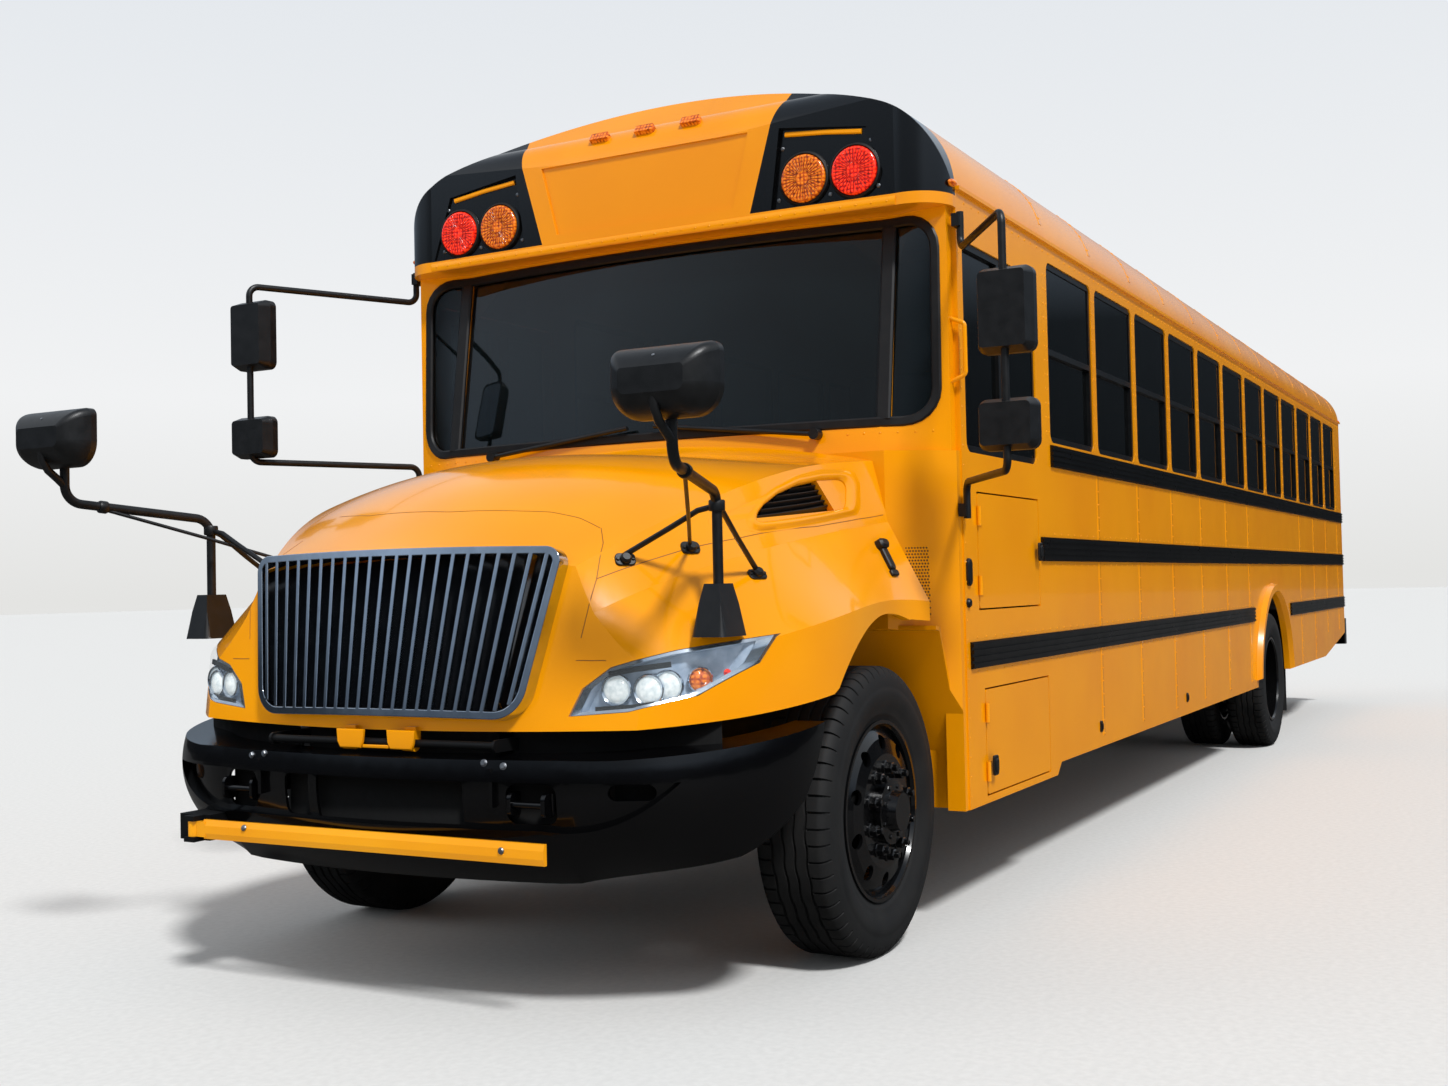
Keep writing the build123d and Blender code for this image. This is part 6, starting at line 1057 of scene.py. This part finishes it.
# Mirror braces. Three thin black rods steady each crossover mirror's post: two
# run down to the hood ahead of and behind the post, one from the upper arm. A
# bent tube and a boss carry the mirror's head, and three screws close its shell.
brace_top, arm_clamp, head_y, head_face = (5.723, 1.0, 1.462), (6.085, 1.106, 1.535), 1.14, 6.3075
rods = [
    rod([(5.748, 0.704, 1.330), (5.735, 0.86, 1.408), (5.728, 0.94, 1.450), brace_top], 0.0085),
    rod([(5.430, 0.972, 1.278), (5.58, 0.986, 1.375), (5.68, 0.996, 1.445), brace_top], 0.0085),
    rod([(5.569, 0.821, 1.355), (5.80, 0.95, 1.435), (6.085, 1.106, 1.528)], 0.006),
]
foot_bolt = turned([(0.006, 0.006), (0.006, 0.010), (0.004, 0.012)], 10)
foot = joined(
    plate(rounded(0.062, 0.04, 0.014), 0.007, 0.002),
    turned([(0.017, 0.005), (0.017, 0.016), (0.011, 0.024)], 18),
    copies(foot_bolt, [placed((x, 0, 0)) for x in (-0.023, 0.023)]),
)
feet = []
for spot, way in (
    ((5.748, 0.704, 1.315), (0.6, 0.66, 0.46)), ((5.430, 0.972, 1.264), (0.34, 0.62, 0.7)),
    ((5.569, 0.821, 1.348), (0.48, 0.75, 0.45)),
):
    way = np.array(way)
    seat, _ = onto("hood", [spot + 0.08 * way], -way)
    feet.append(facing(seat[0], way))
post_clamp = turned([(0.022, -0.016), (0.024, -0.012), (0.024, 0.012), (0.022, 0.016)], 20)
rod_clamp = turned([(0.019, -0.014), (0.021, -0.010), (0.021, 0.010), (0.019, 0.014)], 20)
clamps = joined(
    copies(post_clamp, [placed(brace_top)]),
    copies(rod_clamp, [facing(arm_clamp, (0.95, 0.28, 0.1))]),
)
shape = mirrored_too(joined(*rods, copies(foot, feet), clamps))
piece("mirror_braces", shape, black_plastic, "hood")
boss = plate(rounded(0.07, 0.052, 0.012), 0.012, 0.004)
boss = copies(boss, [facing((6.296, head_y, 1.758), (1, 0, 0))])
stalk_line = (  # x and z
    (6.205, 1.60), (6.232, 1.622), (6.268, 1.648), (6.289, 1.68), (6.294, 1.72), (6.294, 1.758),
)
stalk = rod([(x, head_y, z) for x, z in stalk_line], 0.0125, 12, (1, 0, 0))
piece("crossover_head_mounts", mirrored_too(joined(boss, stalk)), black_plastic, "hood")
starts = [(6.40, y, z) for y, z in ((1.05, 1.742), (1.23, 1.742), (head_y, 1.812))]
seat, out = onto("crossover_mirrors", starts, backward)
seat[:, 0] = np.minimum(seat[:, 0], head_face)
head_screw = turned([(0.0045, -0.002), (0.0045, 0.001), (0.002, 0.002)], 10)
shape = copies(head_screw, [facing(p, n) for p, n in zip(seat, out)])
piece("crossover_head_screws", mirrored_too(shape), zinc, "hood")


# Mirrors. Silvered glass is set in the rear face of each head: flat above and
# convex below on the side arms, and a convex oval in the two crossover heads.
def convex(width, height, radius, rise):
    """A round-cornered glass whose face swells by the rise: rings of the
    outline shrink to the middle while their height follows 1 - s squared."""
    outline = rounded(width, height, radius)
    levels = [(1.0, -0.004)] + [(s, rise * (1 - s**2)) for s in (1.0, 0.8, 0.6, 0.4, 0.2, 0.05)]
    points = [np.column_stack((outline * s, np.full(len(outline), h))) for s, h in levels]
    count, last = len(outline), (len(levels) - 1) * len(outline)
    ends = [list(range(count)), list(range(last, last + count))]
    return np.concatenate(points), grid_quads(len(levels), count, False, True) + ends


flat_glass, low_glass = convex(0.170, 0.260, 0.03, 0.001), convex(0.180, 0.148, 0.03, 0.006)
side_glasses = (  # glass, x, y, z: the two arms stand at different places
    (flat_glass, 4.728, 1.55, 2.105), (low_glass, 4.732, 1.55, 1.735),
    (flat_glass, 4.938, -1.55, 2.290), (low_glass, 4.942, -1.55, 1.875),
)
shapes = [copies(glass, [facing((x, y, z), backward)]) for glass, x, y, z in side_glasses]
piece("side_mirror_glass", joined(*shapes), mirror_silver, "body")
places = [facing((6.205, side * head_y, 1.75), backward) for side in (1, -1)]
shape = copies(convex(0.280, 0.160, 0.075, 0.012), places)
piece("crossover_mirror_glass", shape, mirror_silver, "hood")


# Wheels. Ten nuts hold each disc to its hub, and the front hubs' caps are
# held by a ring of small bolts; the discs are pressed steel, painted black, and the nuts and bolts are
# painted black too.
wheel_z, nut_circle, nut_count, bolt_circle, bolt_count = 0.478, 0.143, 10, 0.085, 8
front_disc_y, front_cap_y, rear_disc_y = 1.113, 1.138, 0.9215


def wheel_places(y, radius, count, side, x):
    """Places round a wheel's centre at a radius, facing out to a side."""
    a = (np.arange(count) + 0.5) * 2 * np.pi / count
    up = wheel_z + radius * np.sin(a)
    spots = np.column_stack((x + radius * np.cos(a), np.full(count, side * y), up))
    return [facing(spot, (0, side, 0)) for spot in spots]


nut = joined(
    turned([(0.0235, -0.001), (0.0235, 0.004), (0.021, 0.006)], 24),
    turned([(0.0195, 0.005), (0.0195, 0.026), (0.016, 0.029)], 6),
    turned([(0.0105, 0.02), (0.0105, 0.043), (0.009, 0.045)], 14),
)
hub_bolt = turned([(0.009, -0.001), (0.009, 0.006), (0.007, 0.008)], 6)
for side, name in ((1, "left"), (-1, "right")):
    nuts = copies(nut, wheel_places(front_disc_y, nut_circle, nut_count, side, front_axle))
    bolts = copies(hub_bolt, wheel_places(front_cap_y, bolt_circle, bolt_count, side, front_axle))
    shape, body = joined(nuts, bolts), f"front_wheel_{name}"
    piece(f"front_wheel_nuts_{name}", shape, wheel_black, body)
    nuts = copies(nut, wheel_places(rear_disc_y, nut_circle, nut_count, side, rear_axle))
    piece(f"rear_wheel_nuts_{name}", nuts, wheel_black, f"rear_wheels_{name}")


# Tyres. Radial truck tyres in black rubber: five ribs parted by wavy grooves,
# slots cut across the two shoulders, and sidewalls dulled by the road.
rubber_tints = ((0.35, "#0A0A0B"), (0.7, "#151413"))
tyre_rubber, tree, spot = blank_material("vulcanised_tyre_rubber")
dust = put(tree, "ShaderNodeTexNoise", "Fac", Vector=spot, Scale=9.0, Detail=5.0)
grit = put(tree, "ShaderNodeTexNoise", "Fac", Vector=spot, Scale=260.0, Detail=2.0)
shade = put(tree, "ShaderNodeValToRGB", "Color", stops=rubber_tints, Fac=dust)
skin = put(tree, "ShaderNodeBump", "Normal", Height=grit, Strength=0.2, Distance=0.0008)
paint = put(tree, "ShaderNodeBsdfPrincipled", "BSDF", Base_Color=shade, Roughness=0.75, Normal=skin)
put(tree, "ShaderNodeOutputMaterial", Surface=paint)
sidewall, shoulder, groove, middle_groove = 0, 1, 2, 3
half_tyre = [  # radius, distance from the middle, and what the point belongs to
    (0.292, 0.1035, sidewall), (0.300, 0.1085, sidewall), (0.316, 0.1135, sidewall),
    (0.318, 0.1155, sidewall), (0.324, 0.1165, sidewall), (0.345, 0.1255, sidewall),
    (0.366, 0.1325, sidewall), (0.384, 0.1350, sidewall), (0.400, 0.1346, sidewall),
    (0.403, 0.1332, sidewall), (0.414, 0.1325, sidewall), (0.428, 0.1305, sidewall),
    (0.442, 0.1268, sidewall), (0.452, 0.1232, shoulder), (0.461, 0.1185, shoulder),
    (0.470, 0.1105, shoulder), (0.4755, 0.1025, shoulder), (0.478, 0.0950, shoulder),
    (0.478, 0.0660, shoulder), (0.478, 0.0640, groove), (0.469, 0.0615, groove),
    (0.469, 0.0560, groove), (0.478, 0.0535, groove), (0.478, 0.0240, middle_groove),
    (0.469, 0.0215, middle_groove), (0.469, 0.0160, middle_groove), (0.478, 0.0135, middle_groove),
]
tyre_lining = [
    (0.455, -0.06, sidewall), (0.445, -0.10, sidewall), (0.41, -0.122, sidewall),
    (0.36, -0.118, sidewall), (0.312, -0.10, sidewall),
]
far_half = [(radius, -offset, part) for radius, offset, part in half_tyre[::-1]]
near_lining = [(radius, -offset, part) for radius, offset, part in tyre_lining]
section = np.array(half_tyre + far_half + tyre_lining[::-1] + near_lining)
section_radius, section_offset, section_part = section.T[:, :, None]
pitches, slot_depth, groove_wave = 58, 0.009, 0.0022
steps = np.array((0.0, 0.03, 0.13, 0.16, 0.58))
angle = ((np.arange(pitches)[:, None] + steps) * 2 * np.pi / pitches).ravel()
in_slot = np.tile((False, True, True, False, False), pitches)
wave = np.tile((0.0, 0.1, 0.3, 0.5, 1.0), pitches)
wave = np.where(np.arange(len(wave)) // len(steps) % 2 == 0, wave, 1 - wave) * 2 - 1
radius = section_radius - slot_depth * ((section_part == shoulder) & in_slot)
across = section_offset + np.where(section_part >= groove, groove_wave * wave, 0)
tread = np.stack((radius * np.cos(angle), across, radius * np.sin(angle)), -1)
tyre = (tread.reshape(-1, 3), grid_quads(len(section), len(angle), True, True))
front_tyre_y, rear_tyres_y, tread_crease = (0.985,), (1.080, 0.743), 40
for side, name in ((1, "left"), (-1, "right")):
    for piece_name, offsets, axle, body, cad_tyre in (
        (f"front_tread_tyre_{name}", front_tyre_y, front_axle, f"front_wheel_{name}", f"front_tyre_{name}"),
        (f"rear_tread_tyres_{name}", rear_tyres_y, rear_axle, f"rear_wheels_{name}", f"rear_tyres_{name}"),
    ):
        shape = copies(tyre, [placed((axle, side * y, wheel_z)) for y in offsets])
        made = piece(piece_name, shape, tyre_rubber, body, tread_crease)
        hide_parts(cad_tyre)


# Benches and driver's seat. High-backed foam pads under coated fabric on frames
# that are bolted to the floor. The foam crowns each pad between its edges.
def pad(size, edge, crown, steps=7):
    """A crowned, round-edged box: a cube's faces are drawn in to the core box
    and moved out by the edge radius, then the two large faces swell by
    (1 - u squared)(1 - v squared). Its z is the thin way."""
    t = np.sin(np.linspace(-np.pi / 2, np.pi / 2, 2 * steps + 1))
    u, v = np.meshgrid(t, t)
    flat = np.stack((u, v, np.ones_like(u)), -1).reshape(-1, 3)
    sides = [np.roll(flat * (1, 1, sign), axis, 1) for axis in range(3) for sign in (1, -1)]
    cube, index = np.unique(np.round(np.concatenate(sides), 6), axis=0, return_inverse=True)
    quads = np.array(grid_quads(len(t), len(t)))
    faces = index.ravel()[np.concatenate([quads + n * len(flat) for n in range(6)])].tolist()
    half = np.array(size) / 2
    core = np.clip(cube * half, edge - half, half - edge)
    away = cube * half - core
    points = core + edge * away / np.linalg.norm(away, axis=1, keepdims=True)
    swell = (1 - cube[:, 0] ** 2) * (1 - cube[:, 1] ** 2)
    on_top = np.sign(cube[:, 2]) * (np.abs(cube[:, 2]) > 0.99)
    points[:, 2] += crown * swell * on_top
    return points, faces


seat_fabric = moulded("navy_coated_fabric", "#1B2433", "#232E40", 0.55, 160.0, 0.5)
first_bench, bench_pitch, bench_rows, bench_y = 2.66, 0.738, 12, 0.674
cushion_z, back_z, back_behind, pad_crease, foam_fill = 1.352, 1.71, 0.2428, 60, 0.9
driver_x, driver_y, driver_floor = 3.48, 0.56, 1.01
bench_spots = [(first_bench - bench_pitch * row, s * bench_y) for row in range(bench_rows) for s in (1, -1)]
upright_turn = np.array(((0, 0, 1), (0, 1, 0), (-1, 0, 0)))
cushion = pad((0.400, 0.960, 0.110), 0.035, 0.008)
back = pad((0.720, 0.960, 0.085), 0.032, 0.008)
cushions = copies(cushion, [placed((x, y, cushion_z)) for x, y in bench_spots])
backs = copies(back, [placed((x - back_behind, y, back_z), upright_turn) for x, y in bench_spots])
made = piece("bench_pads", joined(cushions, backs), seat_fabric, "body", pad_crease)
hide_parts("bench_cushions")
lean = np.radians(8)
lean_turn = np.array(((-np.sin(lean), 0, np.cos(lean)), (0, 1, 0), (-np.cos(lean), 0, -np.sin(lean))))
driver_pads = joined(
    copies(pad((0.50, 0.52, 0.11), 0.04, 0.010), [placed((driver_x, driver_y, 1.448))]),
    copies(pad((0.70, 0.50, 0.10), 0.04, 0.010), [placed((3.235, driver_y, 1.80), lean_turn)]),
)
made = piece("driver_seat_pads", driver_pads, seat_fabric, "body", pad_crease)
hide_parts("driver_seat")
pedestal_parts = (  # shape, height of its foot
    (plate(rounded(0.34, 0.34, 0.03), 0.02, 0.003), driver_floor),
    (turned([(0.11, 0.0), (0.07, 0.05), (0.06, 0.20), (0.10, 0.33)], 28), driver_floor + 0.018),
    (plate(rounded(0.42, 0.42, 0.04), 0.035, 0.004), driver_floor + 0.346),
)
pedestal = [copies(shape, [placed((driver_x, driver_y, z))]) for shape, z in pedestal_parts]
piece("driver_seat_pedestal", joined(*pedestal), satin_black, "body")
